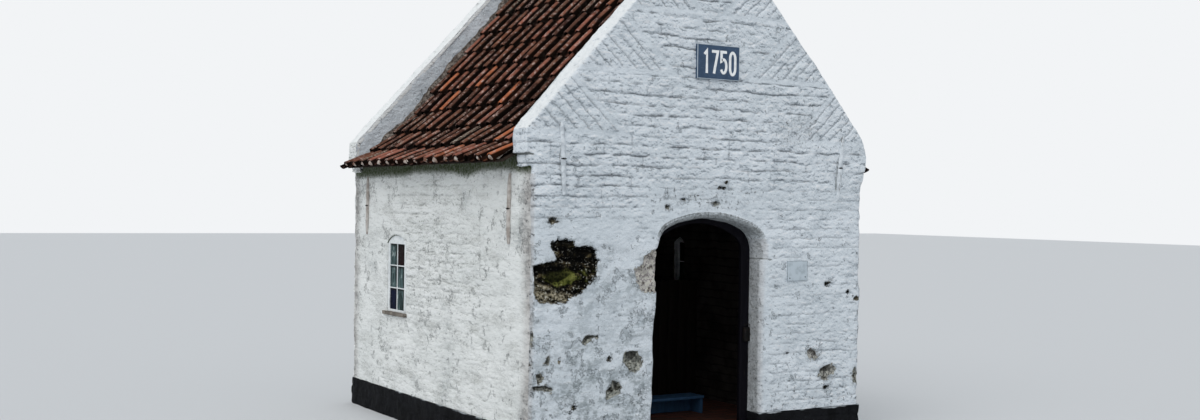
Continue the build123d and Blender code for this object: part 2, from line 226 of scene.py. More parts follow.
def node(tree, kind, *inputs, out=None, **settings):
    """Adds a node and returns its first output in use, or the one named. kind is its type
    and, after a space, its main setting. The inputs go to the sockets in use, in order, or
    stand in a dict by name. Each is a socket to link, a hex colour or a plain value."""
    kind, _, mode = kind.partition(" ")
    made = tree.nodes.new("ShaderNode" + kind)
    if mode:
        settings[main_setting[kind]] = mode
    for key, value in settings.items():
        setattr(made, key, value)
    in_use = [number for number, socket in enumerate(made.inputs) if socket.enabled]
    named = inputs[0] if inputs and isinstance(inputs[0], dict) else dict(zip(in_use, inputs))
    for key, value in named.items():
        if isinstance(value, bpy.types.NodeSocket):
            tree.links.new(value, made.inputs[key])
        else:
            made.inputs[key].default_value = colour(value) if isinstance(value, str) else value
    return made.outputs[out] if out else next((s for s in made.outputs if s.enabled), None)


def new_material(name, roughness, specular):
    """A named material, the function that adds nodes to its tree, and its shader."""
    material = bpy.data.materials.new(name)
    material.use_nodes = True
    shader = material.node_tree.nodes["Principled BSDF"]
    shader.inputs["Roughness"].default_value = roughness
    shader.inputs["Specular IOR Level"].default_value = specular
    return material, partial(node, material.node_tree), shader


def speckle(add, scale, detail=4.0, fineness=0.6, stretch=(1, 1, 1), lift=0.0):
    """A cloudy pattern with features per metre, stretched if asked. lift reads it that many
    metres higher up."""
    place = add("TexCoord", out="Object")
    if stretch != (1, 1, 1) or lift:
        place = add("Mapping", {"Vector": place, "Scale": stretch, "Location": (0, 0, lift)})
    return add("TexNoise", place, scale, detail, fineness, out="Fac")


def stain(add, base, paint, pattern, low, high, strength=1.0):
    """A paint over the base, from nothing where the pattern is low to its strength where it
    is high."""
    return add(blend, add(scurve, pattern, low, high, 0, strength), base, paint)


def put_on(shader, base, height=None):
    """Links a colour to the shader as its base, and a height in metres as bump."""
    tree = shader.id_data
    tree.links.new(base, shader.inputs["Base Color"])
    if height:
        bump = node(tree, "Bump", {"Height": height, "Distance": 1.0, "Strength": 1.0})
        tree.links.new(bump, shader.inputs["Normal"])


def plain_finish(name, roughness, specular, colours, clouds, layers=(), lumps=None):
    """A finish whose first colour turns into the second in clouds, with layers of specks on
    it. A pattern is what speckle takes. Its two limits follow it in clouds and in a layer,
    which starts with its colour and strength, and its height in lumps."""
    material, add, shader = new_material(name, roughness, specular)
    *pattern, low, high = clouds
    base = stain(add, *colours, speckle(add, *pattern), low, high)
    for code, strength, *pattern, low, high in layers:
        base = stain(add, base, code, speckle(add, *pattern), low, high, strength)
    if lumps:
        *pattern, high = lumps
        lumps = add(times, speckle(add, *pattern), high)
    put_on(shader, base, lumps)
    return material


# %% [markdown]
# ## Limewashed brickwork
#
# The walls are soft hand-made bricks under many coats of limewash. The wash fills the joints
# unevenly: here a line of shadow stays open, there the wall is nearly smooth. Limewash is
# chalk, so it is matt and hardly shines. Its tree has four parts: the joints, the coats of
# wash, the bare brick below them and the relief.

# %% Joints under the wash
def wall_values(add):
    """What a wall sheet carries per point, each as a socket."""
    keys = ("course", "along", "open", "smooth", "damage", "kind", "grime", "chalk", "pitted", "flaky",
            "shade", "dusty")
    return SimpleNamespace(**{key: add("Attribute " + key, out="Fac") for key in keys})


def joint_lines(add, mark, look):
    """Masks of the bed joints, wide and thin, and of the upright joints. A bed joint lies
    where the course is a whole number, and each course shifts its upright joints."""
    look.brick = add(minus, 1.0, mark.smooth)
    wander = add(times_plus, look.grain, 0.50, -0.25)
    placed = add(plus, mark.course, wander)
    look.from_joint = add(fold, placed, 0.5)
    open_brick = add(times, mark.open, look.brick)
    look.bed = add(times, add(scurve, look.from_joint, 0.20, 0.03), open_brick)
    look.thin = add(times, add(scurve, look.from_joint, 0.085, 0.02), open_brick)
    shift = add("TexWhiteNoise", {"W": add("Math FLOOR", placed)}, out="Value", noise_dimensions="1D")
    lengths = add(plus, add(times, mark.along, 4.6), shift)
    lengths = add(plus, lengths, add(times, wander, 0.5))
    upright = add(scurve, add(fold, lengths, 0.5), 0.036, 0.005)
    filled = add(times, look.brick, add(scurve, look.cloud, 0.44, 0.60))
    look.upright = add(times, upright, filled)


# %% [markdown]
# The coats. Every lump gets a painted highlight on its upper side and painted shade under it:
# the same pattern is read twice, a few millimetres apart in height, and the difference tells
# upper from lower. Where the newest coat is off, its edge is a dark lip.

# %% Coats of wash
def wash_colour(add, mark, look, coats, line, hair, even):
    """The colour of the wash. coats holds the bright, middle and dull colours, the colour of
    soiled wash, which also serves as painted shade, and the algae colour. line is the colour of
    an open joint, hair the strength of fine cracks, and even that of the painted light and
    shade on the lumps where the wall is smooth."""
    bright, mid, dull, dirt_and_shade, algae = coats
    wash = stain(add, bright, mid, look.broad, 0.35, 0.65)
    wash = stain(add, wash, dull, look.cloud, 0.50, 0.72, 0.8)
    # Painted light: each lump is read twice, a few millimetres apart in height. Its upper side is painted
    # lighter as a highlight, and its underside darker as painted shade.
    grain_light_and_shade = add(minus, look.lumpy(46, 5, 0.7, 0.008), look.grain)
    lump_light_and_shade = add(minus, look.lumpy(20, 5, 0.65, 0.014), look.lumps)
    painted_light_and_shade = add(plus, grain_light_and_shade, add(times, lump_light_and_shade, 1.1))
    painted_light_and_shade = add(times, painted_light_and_shade, add(scurve, mark.smooth, 0.2, 1.0, 1.0, even))
    wash = stain(add, wash, "#FAFBFD", painted_light_and_shade, -0.02, -0.22, 0.75)
    wash = stain(add, wash, dirt_and_shade, painted_light_and_shade, 0.03, 0.24, 0.80)
    wash = stain(add, wash, dirt_and_shade, look.fine, 0.58, 0.74, 0.35)
    cracks = add("Math ABSOLUTE", add(minus, look.lumpy(30, 6, 0.78), 0.5))
    cracks = add(times, add(scurve, cracks, 0.016, 0.0, 0, hair), add(scurve, look.cloud, 0.42, 0.58))
    wash = add(blend, cracks, wash, dirt_and_shade)
    wash = add(blend, add(times, look.bed, 0.35), wash, dirt_and_shade)
    wash = add(blend, add(times, look.upright, 0.45), wash, dirt_and_shade)
    wash = add(blend, add(times, look.thin, 0.78), wash, line)
    # Flakes where the newest coat is off, and a dark lip round each.
    layer = add(times_plus, mark.flaky, 0.085, speckle(add, 9, 7, 0.72))
    look.flaked = add(scurve, layer, 0.640, 0.650)
    lip = add(times, add(scurve, layer, 0.622, 0.640), add(scurve, layer, 0.656, 0.642))
    wash = add(blend, add(times, look.flaked, 0.55), wash, dull)
    wash = add(blend, add(times, lip, 0.85), wash, "#4A4F52")
    # Where old coats end, a dark curved line runs along each, and dust greys what lies low.
    ends = add(scurve, add(fold, layer, 0.026), 0.0045, 0.0005)
    ends = add(times, ends, add(scurve, look.lumps, 0.50, 0.58))
    wash = add(blend, add(times, ends, add(scurve, mark.flaky, 0.35, 0.8, 0, 0.95)), wash, "#4E5457")
    low_dust = add(times, add(scurve, mark.flaky, 0.5, 1.0), add(scurve, look.cloud, 0.44, 0.56, 0.15, 0.75))
    low_dust = add(times, low_dust, add(scurve, look.grain, 0.38, 0.58))
    wash = add(blend, low_dust, wash, "#8E979A")
    # Near the corners a pinkish grey is partly dust and partly painted shade, darkening the wall towards the
    # rounded corner.
    dust_and_shade_tint = add(times, mark.dusty, add(scurve, look.cloud, 0.35, 0.65, 0.45, 0.75))
    wash = add(blend, dust_and_shade_tint, wash, "#AAA29E")
    # Pits are small holes, most of them where the wall is weathered.
    look.pits = add(times_plus, mark.pitted, 0.085, speckle(add, 26, 6, 0.75))
    wash = stain(add, wash, "#7B7F82", look.pits, 0.665, 0.700, 0.80)
    wash = stain(add, wash, "#262625", look.pits, 0.715, 0.740, 0.95)
    # The grime value is algae and soot, and in places painted shade: dark specks that join where it is thick.
    specks = add(times_plus, mark.grime, 0.24, speckle(add, 55, 4, 0.8))
    wash = stain(add, wash, algae, specks, 0.64, 0.82, 0.85)
    wash = add(blend, add(times, add(scurve, mark.grime, 0.45, 1.0), 0.84), wash, algae)
    # Upward-facing edges and reveals get a painted highlight, strongest on the upper side of each lump.
    lit_tops = add(times, mark.chalk, add(scurve, painted_light_and_shade, 0.14, 0.02, 0.25, 0.85))
    return add(blend, lit_tops, wash, "#F6F8F8")


# %% [markdown]
# The bare brick. Where wash and brick have come off, the value damage holds the distance
# inside the edge, and kind tells what lies below: moss under 0, sooty brick at 0, then tan
# sand, grey mortar and pinkish mortar up to 1.

# %% Bare brick and moss
def bare_brick(add, mark, look):
    """The mask of what is bare, with an edge torn by noise, and its colour."""
    torn = add(times_plus, speckle(add, 30, 6, 0.78), 0.10, -0.050)
    torn = add(plus, mark.damage, torn)
    look.bare = add(scurve, torn, 0.0, 0.003)
    # A near-black rim just inside each torn edge is painted shade, weaker where the kind is high.
    rim = add(times, look.bare, add(scurve, torn, 0.016, 0.003))
    rim = add(times, rim, add(scurve, mark.kind, 0.15, 0.50, 0.85, 0.25))
    look.soot = speckle(add, 19, 6, 0.75)
    moss = speckle(add, 11, 6, 0.7)
    dark_brick = stain(add, "#030302", "#6E6248", look.soot, 0.47, 0.63)
    ledge = add(times, add(scurve, look.from_joint, 0.34, 0.16), add(scurve, mark.kind, -0.5, -0.1))
    dark_brick = add(blend, add(times, ledge, 0.9), dark_brick, "#040403")
    mossy = add(scurve, add(times_plus, mark.kind, -0.36, moss), 0.56, 0.80, 0, 0.85)
    moss_green = stain(add, "#434C1A", "#92954E", look.soot, 0.35, 0.65)
    sandy = stain(add, "#2F2A1E", "#B9AF95", look.soot, 0.42, 0.60)
    stony = stain(add, "#4E4D44", "#B5B7AE", look.soot, 0.38, 0.56)
    pinkish = stain(add, "#5B4F48", "#D9D3CF", look.soot, 0.36, 0.52)
    under = stain(add, dark_brick, sandy, mark.kind, 0.05, 0.30)
    under = stain(add, under, stony, mark.kind, 0.32, 0.45)
    under = stain(add, under, pinkish, mark.kind, 0.5, 0.95)
    under = add(blend, mossy, under, moss_green)
    rusty = add(times, add(scurve, mark.kind, 0.7, 0.9), add(scurve, moss, 0.56, 0.66, 0, 0.8))
    under = add(blend, rusty, under, "#A57B52")
    salt = speckle(add, 60, 4, 0.72)
    grit = add(times_plus, mark.kind, 0.09, salt)
    under = stain(add, under, "#D6D4C8", grit, 0.600, 0.640, 0.95)
    pores = add(times, add(scurve, salt, 0.47, 0.42), add(scurve, mark.kind, 0.3, 0.6, 0.85, 0.65))
    under = add(blend, pores, under, "#0B0A08")
    under = add(blend, rim, under, "#0A0908")
    shadow = add(times, mark.shade, add(scurve, mark.kind, 0.6, 0.95, 0.85, 0.30))
    return add(blend, shadow, under, "#070706")


# %% Limewash over brick
def limewash(name, coats, line="#4C5157", hair=0.35, even=1.0, lying=0.6):
    """Whitewashed brick on the values of a wall sheet. lying is how much flatter than long
    the lumps of the wash are."""
    material, add, shader = new_material(name, 0.88, 0.06)
    mark, look = wall_values(add), SimpleNamespace()
    look.lumpy = lambda scale, detail, fineness=0.6, lift=0.0: speckle(
        add, scale, detail, fineness, (lying, lying, 1), lift)
    look.broad, look.cloud, look.lumps = look.lumpy(2.2, 4), look.lumpy(9, 5), look.lumpy(20, 5, 0.65)
    look.grain, look.fine = look.lumpy(46, 5, 0.7), speckle(add, 130, 3, 0.6)
    joint_lines(add, mark, look)
    wash = wash_colour(add, mark, look, coats, line, hair, even)
    under = bare_brick(add, mark, look)
    height = add(times, look.bed, -0.006)
    pitting = add(scurve, look.pits, 0.64, 0.73)
    crumbled = add(times, look.bare, look.soot)
    for pattern, high in ((look.upright, -0.003), (look.lumps, 0.020), (look.grain, 0.012),
                          (look.flaked, -0.003), (pitting, -0.005), (crumbled, 0.025), (look.bare, -0.020)):
        height = add(times_plus, pattern, high, height)
    put_on(shader, add(blend, look.bare, wash, under), height)
    return material


# The front's blue-grey coats are painted light: a copy of the white wash, tinted for the cool sky light on
# the front. The gables' faces above the tiles use it too.
sky_tinted_wash = limewash("limewash tinted by painted cool sky light", ("#EAF1F7", "#DFE7ED", "#CBD4DB", "#8C959E", "#6A6D6B"),
                      even=0.45)
side_wash = limewash("limewash, weathered side", ("#F6F8F6", "#EDF0EE", "#DADCD9", "#A3A4A0", "#36431B"),
                     line="#85878A", hair=0.90, even=0.5, lying=0.36)
print("wall materials", sky_tinted_wash.name, "and", side_wash.name)

# %% [markdown]
# ## Outlines of the walls
#
# Each elevation is drawn flat, with u along the wall and v as height.
# The gable rises at 47.5 degrees from a kneeler that stands 57 mm proud of the wall.
# The doorway has straight jambs and a low three-centred arch.

# %% Main sizes and outlines
half_width, half_length, wall = 1.5, 1.655, 0.195
wall_foot, eaves_top, shoulder = 0.232, 2.149, 2.375
verge_angle = math.radians(47.5)
rise = math.tan(verge_angle)
apex = shoulder + half_width * rise
floor_top = 0.055
door_half, door_spring, door_rise, door_fillet, plaster_hang = 0.482, 1.457, 0.285, 0.20, 0.040
window_y, window_half, window_low, window_spring, window_rise = 0.690, 0.170, 0.880, 1.450, 0.070
recess_y, recess_half, recess_low, glass_y = 0.680, 0.197, window_low - 0.004, 0.692


def arc(centre, radius, start, end, count):
    """Points on a circle between two angles in degrees."""
    turn = np.radians(np.linspace(start, end, count))
    return np.column_stack([centre[0] + radius * np.cos(turn), centre[1] + radius * np.sin(turn)])


def three_centred(half, spring, height, side_radius, count=14):
    """A low arch from right to left: a small side arc, a wide crown arc, a small side arc.
    The crown radius follows from the arcs meeting without a kink."""
    reach, above = half - side_radius, height - side_radius
    drop = (reach**2 - above**2) / (2 * above)
    radius = height + drop
    meet = math.degrees(math.atan2(drop, reach))
    side = arc((reach, spring), side_radius, 0, meet, count)
    crown = arc((0, spring - drop), radius, meet, 180 - meet, 2 * count)
    return np.concatenate([side, crown[1:-1], side[::-1] * (-1, 1)])


gable_side = np.array([(1.500, 0.232), (1.500, 2.046), (1.504, 2.050), (1.524, 2.052), (1.528, 2.056),
                       (1.528, 2.136), (1.532, 2.140), (1.553, 2.141), (1.557, 2.146), (1.557, 2.305),
                       (1.554, 2.316)])
worn_side = np.array([(1.500, 0.232), (1.500, 1.966), (1.508, 1.985), (1.522, 2.010), (1.530, 2.040),
                      (1.533, 2.076), (1.545, 2.106), (1.551, 2.145), (1.551, 2.215), (1.540, 2.268),
                      (1.518, 2.318), (1.487, 2.366), (1.447, 2.412), (1.352, 2.515), (1.220, 2.668)])
gable = np.concatenate([gable_side, [(0, apex)], gable_side[::-1] * (-1, 1)])
front_gable = np.concatenate([worn_side, [(0, apex)], gable_side[::-1] * (-1, 1)])
plastered_arch = three_centred(door_half, door_spring, door_rise - plaster_hang, door_fillet - 0.010)
doorway = np.concatenate([[(-door_half, wall_foot), (-door_half, door_spring)], plastered_arch[::-1][1:-1],
                          [(door_half, door_spring), (door_half, wall_foot)]])
front_outline = np.concatenate([front_gable, doorway])
crown_radius = math.hypot(window_half, window_rise) / 2 / math.sin(math.atan2(window_rise, window_half))
crown_turn = math.degrees(math.asin(window_half / crown_radius))


def window_hole(middle, half=window_half, low=window_low):
    """Outline of a window opening: straight jambs and a shallow arc, stretched to the width."""
    head = arc((middle, window_spring + window_rise - crown_radius), crown_radius,
               90 - crown_turn, 90 + crown_turn, 11)
    head[:, 0] = middle + (head[:, 0] - middle) * half / window_half
    return np.concatenate([[(middle - half, low), (middle + half, low)], head])


print("apex at", round(apex, 3), "door crown at", round(plastered_arch[:, 1].max(), 3))

# %% [markdown]
# ## Wall sheets
#
# The bricklayer's courses are 73.5 mm high and run a little wavy. The mesh rows follow them,
# with close rows at each joint, so the joints are real grooves and the bricks stand unevenly.
# In the gable, wedges of brick are laid at right angles to the verge. This "tumbling" gives
# the sloping edge whole bricks to end on.

# %% Trim a grid to an outline
def nearest(points, lines):
    """Distance to the nearest of some lines, the point on it, the way inward (left of the
    line) and the line's number. A point's place along a side is its projection on it."""
    gap, line = np.full(len(points), 9.0), np.zeros(len(points), int)
    foot, inward = points.copy(), np.zeros_like(points)
    for number, path in enumerate(lines):
        for a, b in zip(path[:-1], path[1:]):
            step = b - a
            t = np.clip((points - a) @ step / (step @ step), 0, 1)
            spot = a + t[:, None] * step
            away = np.hypot(*(points - spot).T)
            near = away < gap
            gap[near], foot[near], line[near] = away[near], spot[near], number
            inward[near] = np.array([-step[1], step[0]]) / math.hypot(*step)
    return gap, foot, inward, line


def ring_of(outline):
    """A closed outline as a line that ends where it starts."""
    return np.vstack([outline, outline[:1]])


def inside(points, outline):
    """True where a line from the point crosses the closed outline an odd number of times."""
    odd = np.zeros(len(points), bool)
    for a, b in zip(outline, np.roll(outline, -1, axis=0)):
        spans = (a[1] > points[:, 1]) != (b[1] > points[:, 1])
        if spans.any():
            cut = a[0] + (points[:, 1] - a[1]) * (b[0] - a[0]) / (b[1] - a[1])
            odd ^= spans & (points[:, 0] < cut)
    return odd


def border_edges(faces):
    """Edges of quads that no other quad shares, in the direction of their own quad."""
    edges = np.concatenate([faces[:, [k, (k + 1) % 4]] for k in range(4)])
    many = faces.max() + 1
    return edges[~np.isin(edges[:, 0] * many + edges[:, 1], edges[:, 1] * many + edges[:, 0])]


def slab_faces(sheet, each):
    """A sheet's faces closed to a slab: its points come a second time as its back, and a rim
    joins both along the border."""
    edges = border_edges(sheet)
    rim = np.column_stack([edges[:, ::-1], edges + each])
    return np.concatenate([sheet, sheet[:, ::-1] + each, rim])


# %% [markdown]
# The tumbled wedges: each stands on a level course, its tip touches the verge, and its upper
# side runs square to the verge. Their courses are numbered from 60 on, so that they can be
# told from the level ones. The last level courses, at the very apex, count as tumbled too.

# %% Courses, level and tumbled
course_pitch, brick_length = 0.0735, 0.218
first_tumbled, wedge_course, wedge_start = 50, 60.37, 7
along_verge = np.array([-math.cos(verge_angle), math.sin(verge_angle)])
off_verge = np.array([along_verge[1], -along_verge[0]])
wedges = [(2.30, 2.70), (2.75, 3.16), (3.21, 3.53), (3.57, 3.80)]


def courses(flat, level, start):
    """Course number, distance along it, and closeness to the edge of a wedge. In a wedge the
    first two turn with the verge."""
    course = (level - wall_foot) / course_pitch
    along = start + flat[:, 0]
    border = np.zeros(len(flat))
    turned = np.column_stack([np.abs(flat[:, 0]), flat[:, 1]])
    for low, high in wedges:
        tip = np.array([half_width - (high - shoulder) / rise, high])
        above = (turned - tip) @ along_verge
        within = (turned[:, 1] > low) & (above < 0)
        course = np.where(within, wedge_course + turned @ along_verge / course_pitch, course)
        along = np.where(within, turned @ off_verge + wedge_start, along)
        from_edge = np.abs(np.maximum(low - turned[:, 1], above))
        border = np.maximum(border, fade(0.014, 0.022, from_edge))
    return course, along, border


def wave(points):
    """How far a course wanders up and down, nothing at the foot of the wall."""
    broad = 0.007 * noise(points, 1.1, 3) + 0.005 * noise(points, 0.30, 4)
    return (broad + 0.005 * noise(points, 0.13, 11)) * ease(0, 0.4, points[:, 2] - wall_foot)


def openness(course, along):
    """How open the nearest bed joint is, from 0 to 1: noise along each joint by itself."""
    joint = 7.31 * np.round(course)
    long = noise(np.column_stack([along / 0.30, joint, 0 * along]), 1.0, 12)
    short = noise(np.column_stack([along / 0.06, joint, 0 * along]), 1.0, 13)
    tumbled = course > first_tumbled
    return ease(-0.55, 0.60, 0.5 * long + 0.8 * short + 0.60 * tumbled) * (1 - 0.5 * tumbled)


# %% [markdown]
# The relief is a sum: the whole wall bulges, each brick stands out by its own chance and is a
# little rounded, a groove runs where a joint is open, corners are chipped, and where wash and
# brick have come off there is a rough hollow with a ledge at each course.

# %% Relief of the wall
groove_deep, brick_offset, brick_round, wash_sunk = 0.0075, 0.0040, 0.0030, 0.003


def wall_height(points, course, along, opened, smooth, damage, deep):
    """How far the surface stands out: broad bulges, brick by brick offsets, joints, worn
    corners, and the hollow where wash and brick have come off, times deep."""
    row = np.floor(course)
    place = along / brick_length + 0.37 * row
    chance = np.sin(row * 12.9898 + np.floor(place) * 78.233) * 43758.5453
    offset = 2 * (chance - np.floor(chance)) - 1
    pillow = 1 - np.abs(2 * (place - np.floor(place)) - 1)**6
    joint = np.abs(course - np.round(course))
    groove = fade(0.02, 0.20, joint) * (0.10 + 0.90 * opened)
    out = 0.0055 * noise(points, 0.47, 5) + 0.0045 * noise(points, 0.13, 6)
    out += (0.0040 * noise(points, 0.055, 7) + 0.0022 * noise(points, 0.028, 8)) * (1 - 0.35 * smooth)
    out += (1 - smooth) * (brick_offset * offset + brick_round * pillow - groove_deep * groove)
    from_corner = np.hypot(half_width - np.abs(points[:, 0]), half_length - np.abs(points[:, 1]))
    chip = 0.005 + 0.011 * ease(0.1, 0.8, noise(points, 0.11, 16)) + 0.005 * noise(points, 0.045, 17)
    out -= fade(0.0, 0.075, from_corner) * chip
    hollow = ease(0, 0.010, damage + 0.008 * noise(points, 0.035, 9))
    ledge = fade(0.10, 0.34, joint)
    out -= hollow * deep * (0.018 + 0.012 * noise(points, 0.06, 10) + 0.016 * ledge)
    return out - wash_sunk


def on_wall(elevation, flat, out=0.0):
    """Points in space from u, v and how far out, for an elevation (origin, axis, normal)."""
    origin, axis, normal = (np.array(e, float) for e in elevation[:3])
    out = np.broadcast_to(out, len(flat))
    return origin + flat[:, :1] * axis + flat[:, 1:] * (0, 0, 1) + out[:, None] * normal


# %% [markdown]
# A wall sheet is a grid trimmed to the outline. Its border points snap to the real edge. Near
# an edge the points lean over like a quarter round, and rings of the same border points carry
# the surface back into the wall, as the reveals, the verge and the corners.

# %% Sheets of brickwork
arris_ends, kneeler_foot = (1.90, 2.00), 2.048
wide_arch_arris, hidden_by = 0.014, 0.015


def trimmed_grid(elevation, across, levels, outline, opening):
    """Flat grid points that wave with the courses, cut to the outline, with their heights
    before the waving, and their quads."""
    flat = np.column_stack(grid(across, levels))
    level = flat[:, 1].copy()
    flat[:, 1] += wave(on_wall(elevation, flat))
    quads = grid_faces(len(across), len(levels))
    centres = flat[quads].mean(axis=1)
    kept = inside(centres, outline)
    if opening is not None:
        kept &= ~inside(centres, opening)
    used, quads = np.unique(quads[kept], return_inverse=True)
    return flat[used], level[used], quads.reshape(-1, 4)


def carried_back(sheet, edges, snapped, rings, corner):
    """Adds the rings: the snapped border points again, each ring deeper by its own depth, and
    with the wall's relief turned to face out of the reveal. The ring faces join them. Below
    the kneelers the corner's rings are tucked in 15 mm, hidden behind the side wall."""
    number = np.full(len(sheet.points), -1)
    number[snapped] = np.arange(len(snapped))
    back = edges[(number[edges[:, 0]] >= 0) & (number[edges[:, 1]] >= 0)]
    flat, side = sheet.flat[snapped], sheet.side[snapped]
    hidden = (np.abs(np.abs(flat[:, 0]) - corner) < 0.003) & (flat[:, 1] < kneeler_foot)
    one, two = back[:, 1], back[:, 0]
    all_points, all_faces = [sheet.points], [sheet.quads]
    upward = ease(0.2, 0.6, side[:, 2])
    near = {key: column[snapped] for key, column in sheet.values.items()}
    near["smooth"] = np.maximum(near["smooth"], upward)
    for back_by, inner in rings:
        rooted = on_wall(sheet.elevation, flat, -np.full(len(snapped), back_by))
        tucked = hidden & (back_by > 0.04)
        shrink = inner + np.where(tucked, hidden_by, 0)
        rooted = rooted - side * shrink[:, None]
        out = wall_height(rooted, near["course"], near["along"] + back_by, near["open"], near["smooth"],
                          near["damage"], sheet.deep[snapped])
        out += upward * (0.007 * noise(rooted, 0.07, 18) + 0.005 * noise(rooted, 0.035, 19))
        out = np.where(tucked, 0, out) * (1 if inner < 0.02 else 0)
        begin = sum(len(p) for p in all_points)
        all_points.append(rooted + side * out[:, None])
        three, four = begin + number[back[:, 0]], begin + number[back[:, 1]]
        all_faces.append(np.column_stack([one, two, three, four]))
        one, two = four, three
    depth = np.repeat([back_by for back_by, inner in rings], len(snapped))
    carried = {key: np.tile(column, len(rings)) for key, column in near.items()}
    carried["along"] = carried["along"] + depth
    # The upward faces of the rings get the same painted highlight.
    carried["chalk"] = np.tile(upward, len(rings))
    values = {key: np.concatenate([sheet.values[key], carried[key]]) for key in carried}
    return np.concatenate(all_points), np.concatenate(all_faces), values


def brick_sheet(elevation, across, levels, outline, lines, arris, rings, marks,
                opening=None, corner=9.0, corner_arris=0.0):
    """A trimmed grid as a wall. lines are the edges that are rounded by their arris and
    carried back into the wall in rings of (depth, inward). marks gives the weathering
    for flat points. The wall's vertical corners can have an arris of their own."""
    normal, axis, start = np.array(elevation[2], float), np.array(elevation[1], float), elevation[3]
    flat, level, quads = trimmed_grid(elevation, across, levels, outline, opening)
    edges = border_edges(quads)
    rim = np.unique(edges)
    gap, foot, inward, line = nearest(flat, lines)
    step = math.hypot(np.diff(across).max(), np.diff(levels).max())
    snapped = rim[gap[rim] < max(0.02, step)]
    flat[snapped], gap[snapped] = foot[snapped], 0.0
    radius = np.asarray(arris)[line]
    at_corner = (line == 0) * fade(*arris_ends, flat[:, 1]) * (np.abs(flat[:, 0]) > corner - 0.1)
    radius = radius + at_corner * max(corner_arris - arris[0], 0)
    radius = radius + (line == 1) * (arris[-1] > 0.02) * wide_arch_arris * ease(1.45, 1.65, flat[:, 1])
    lean = np.clip(1 - gap / radius, 0, 1)
    level_part = np.sqrt(1 - lean**2)
    side = -(inward[:, :1] * axis + inward[:, 1:] * (0, 0, 1))
    upward = ease(0.2, 0.6, side[:, 2]) * ease(0.1, 0.7, lean)
    course, along, border = courses(flat, level, start)
    mark = marks(flat)
    mark["smooth"] = np.maximum.reduce([mark["smooth"], border, upward])
    base = on_wall(elevation, flat, -radius * (1 - level_part))
    course = course + 0.09 * noise(base, 0.10, 14) + 0.08 * noise(base, 0.045, 15)
    opened = openness(course, along) * (1 - border)
    facing = level_part[:, None] * normal + lean[:, None] * side
    deep = 1 - 0.75 * np.clip(mark["kind"], 0, 1)
    out = wall_height(base, course, along, opened, mark["smooth"], mark["damage"], deep)
    points = base + facing * out[:, None]
    # Upward-facing points near an edge carry a painted highlight for the material.
    values = dict(course=course, along=along, open=opened, chalk=upward, **mark)
    if not rings:
        return points, quads, values
    sheet = SimpleNamespace(elevation=elevation, points=points, quads=quads, values=values, flat=flat,
                            side=side, deep=deep)
    return carried_back(sheet, edges, snapped, rings, corner)


def wall_levels(low, high, rows):
    """Heights of the mesh rows between two heights, with these places in each course."""
    first = math.floor((low - wall_foot) / course_pitch + 1e-6)
    last = math.ceil((high - wall_foot) / course_pitch - 1e-6)
    all_rows = wall_foot + course_pitch * (np.arange(first, last)[:, None] + np.array(rows)).ravel()
    all_rows = all_rows[(all_rows > low + 0.002) & (all_rows < high - 0.002)]
    return np.concatenate([[low], all_rows, [high]])


fine_rows, coarse_rows = (0, 0.11, 0.22, 0.33, 0.44, 0.56, 0.67, 0.78, 0.89), (0, 0.5)
print(len(wall_levels(wall_foot, apex, fine_rows)), "mesh rows up to the apex")

# %% [markdown]
# ## What has happened to the front
#
# The wash is torn off in one big patch with moss in it, beside the left jamb, and in many
# small holes where a stone or anchor came out. Each is an outline or an ellipse in metres.

# %% Marks on the front
# Each patch is the kind of wall below and its outline in u and v.
torn_patches = [
    (0.00, [(-1.288, 1.571), (-1.281, 1.554), (-1.221, 1.560), (-1.173, 1.542), (-1.152, 1.507),
            (-1.022, 1.506), (-0.974, 1.477), (-0.980, 1.429), (-0.949, 1.406), (-0.972, 1.370),
            (-0.971, 1.311), (-0.998, 1.265), (-1.052, 1.224), (-1.093, 1.184), (-1.160, 1.151),
            (-1.214, 1.117), (-1.321, 1.106), (-1.427, 1.117), (-1.466, 1.147), (-1.476, 1.308),
            (-1.483, 1.365), (-1.444, 1.382), (-1.312, 1.403), (-1.292, 1.421), (-1.313, 1.456),
            (-1.343, 1.502), (-1.334, 1.537), (-1.294, 1.548)]),
    (0.97, [(-0.478, 1.498), (-0.562, 1.450), (-0.593, 1.420), (-0.604, 1.372), (-0.654, 1.340),
            (-0.660, 1.294), (-0.634, 1.258), (-0.655, 1.240), (-0.628, 1.231), (-0.608, 1.191),
            (-0.572, 1.166), (-0.477, 1.168)]),
    (0.45, [(-1.047, 0.883), (-0.950, 0.883), (-0.957, 0.864), (-1.012, 0.852), (-0.991, 0.828),
            (-1.025, 0.841), (-1.073, 0.814), (-1.090, 0.832), (-1.074, 0.867)]),
    (0.50, [(-0.730, 0.745), (-0.687, 0.761), (-0.620, 0.754), (-0.610, 0.727), (-0.578, 0.689),
            (-0.585, 0.648), (-0.631, 0.596), (-0.692, 0.623), (-0.743, 0.674), (-0.750, 0.710)]),
    (0.50, [(-0.826, 0.573), (-0.804, 0.552), (-0.773, 0.544), (-0.751, 0.501), (-0.772, 0.460),
            (-0.817, 0.433), (-0.882, 0.423), (-0.885, 0.485), (-0.846, 0.524)]),
    (0.45, [(-1.348, 0.762), (-1.337, 0.727), (-1.354, 0.682), (-1.387, 0.689), (-1.383, 0.712)]),
    (0.40, [(-1.452, 0.629), (-1.412, 0.633), (-1.392, 0.609), (-1.405, 0.563), (-1.434, 0.565)]),
    (0.55, [(-1.483, 0.551), (-1.418, 0.553), (-1.352, 0.555), (-1.311, 0.523), (-1.337, 0.496),
            (-1.404, 0.517), (-1.463, 0.515)]),
]
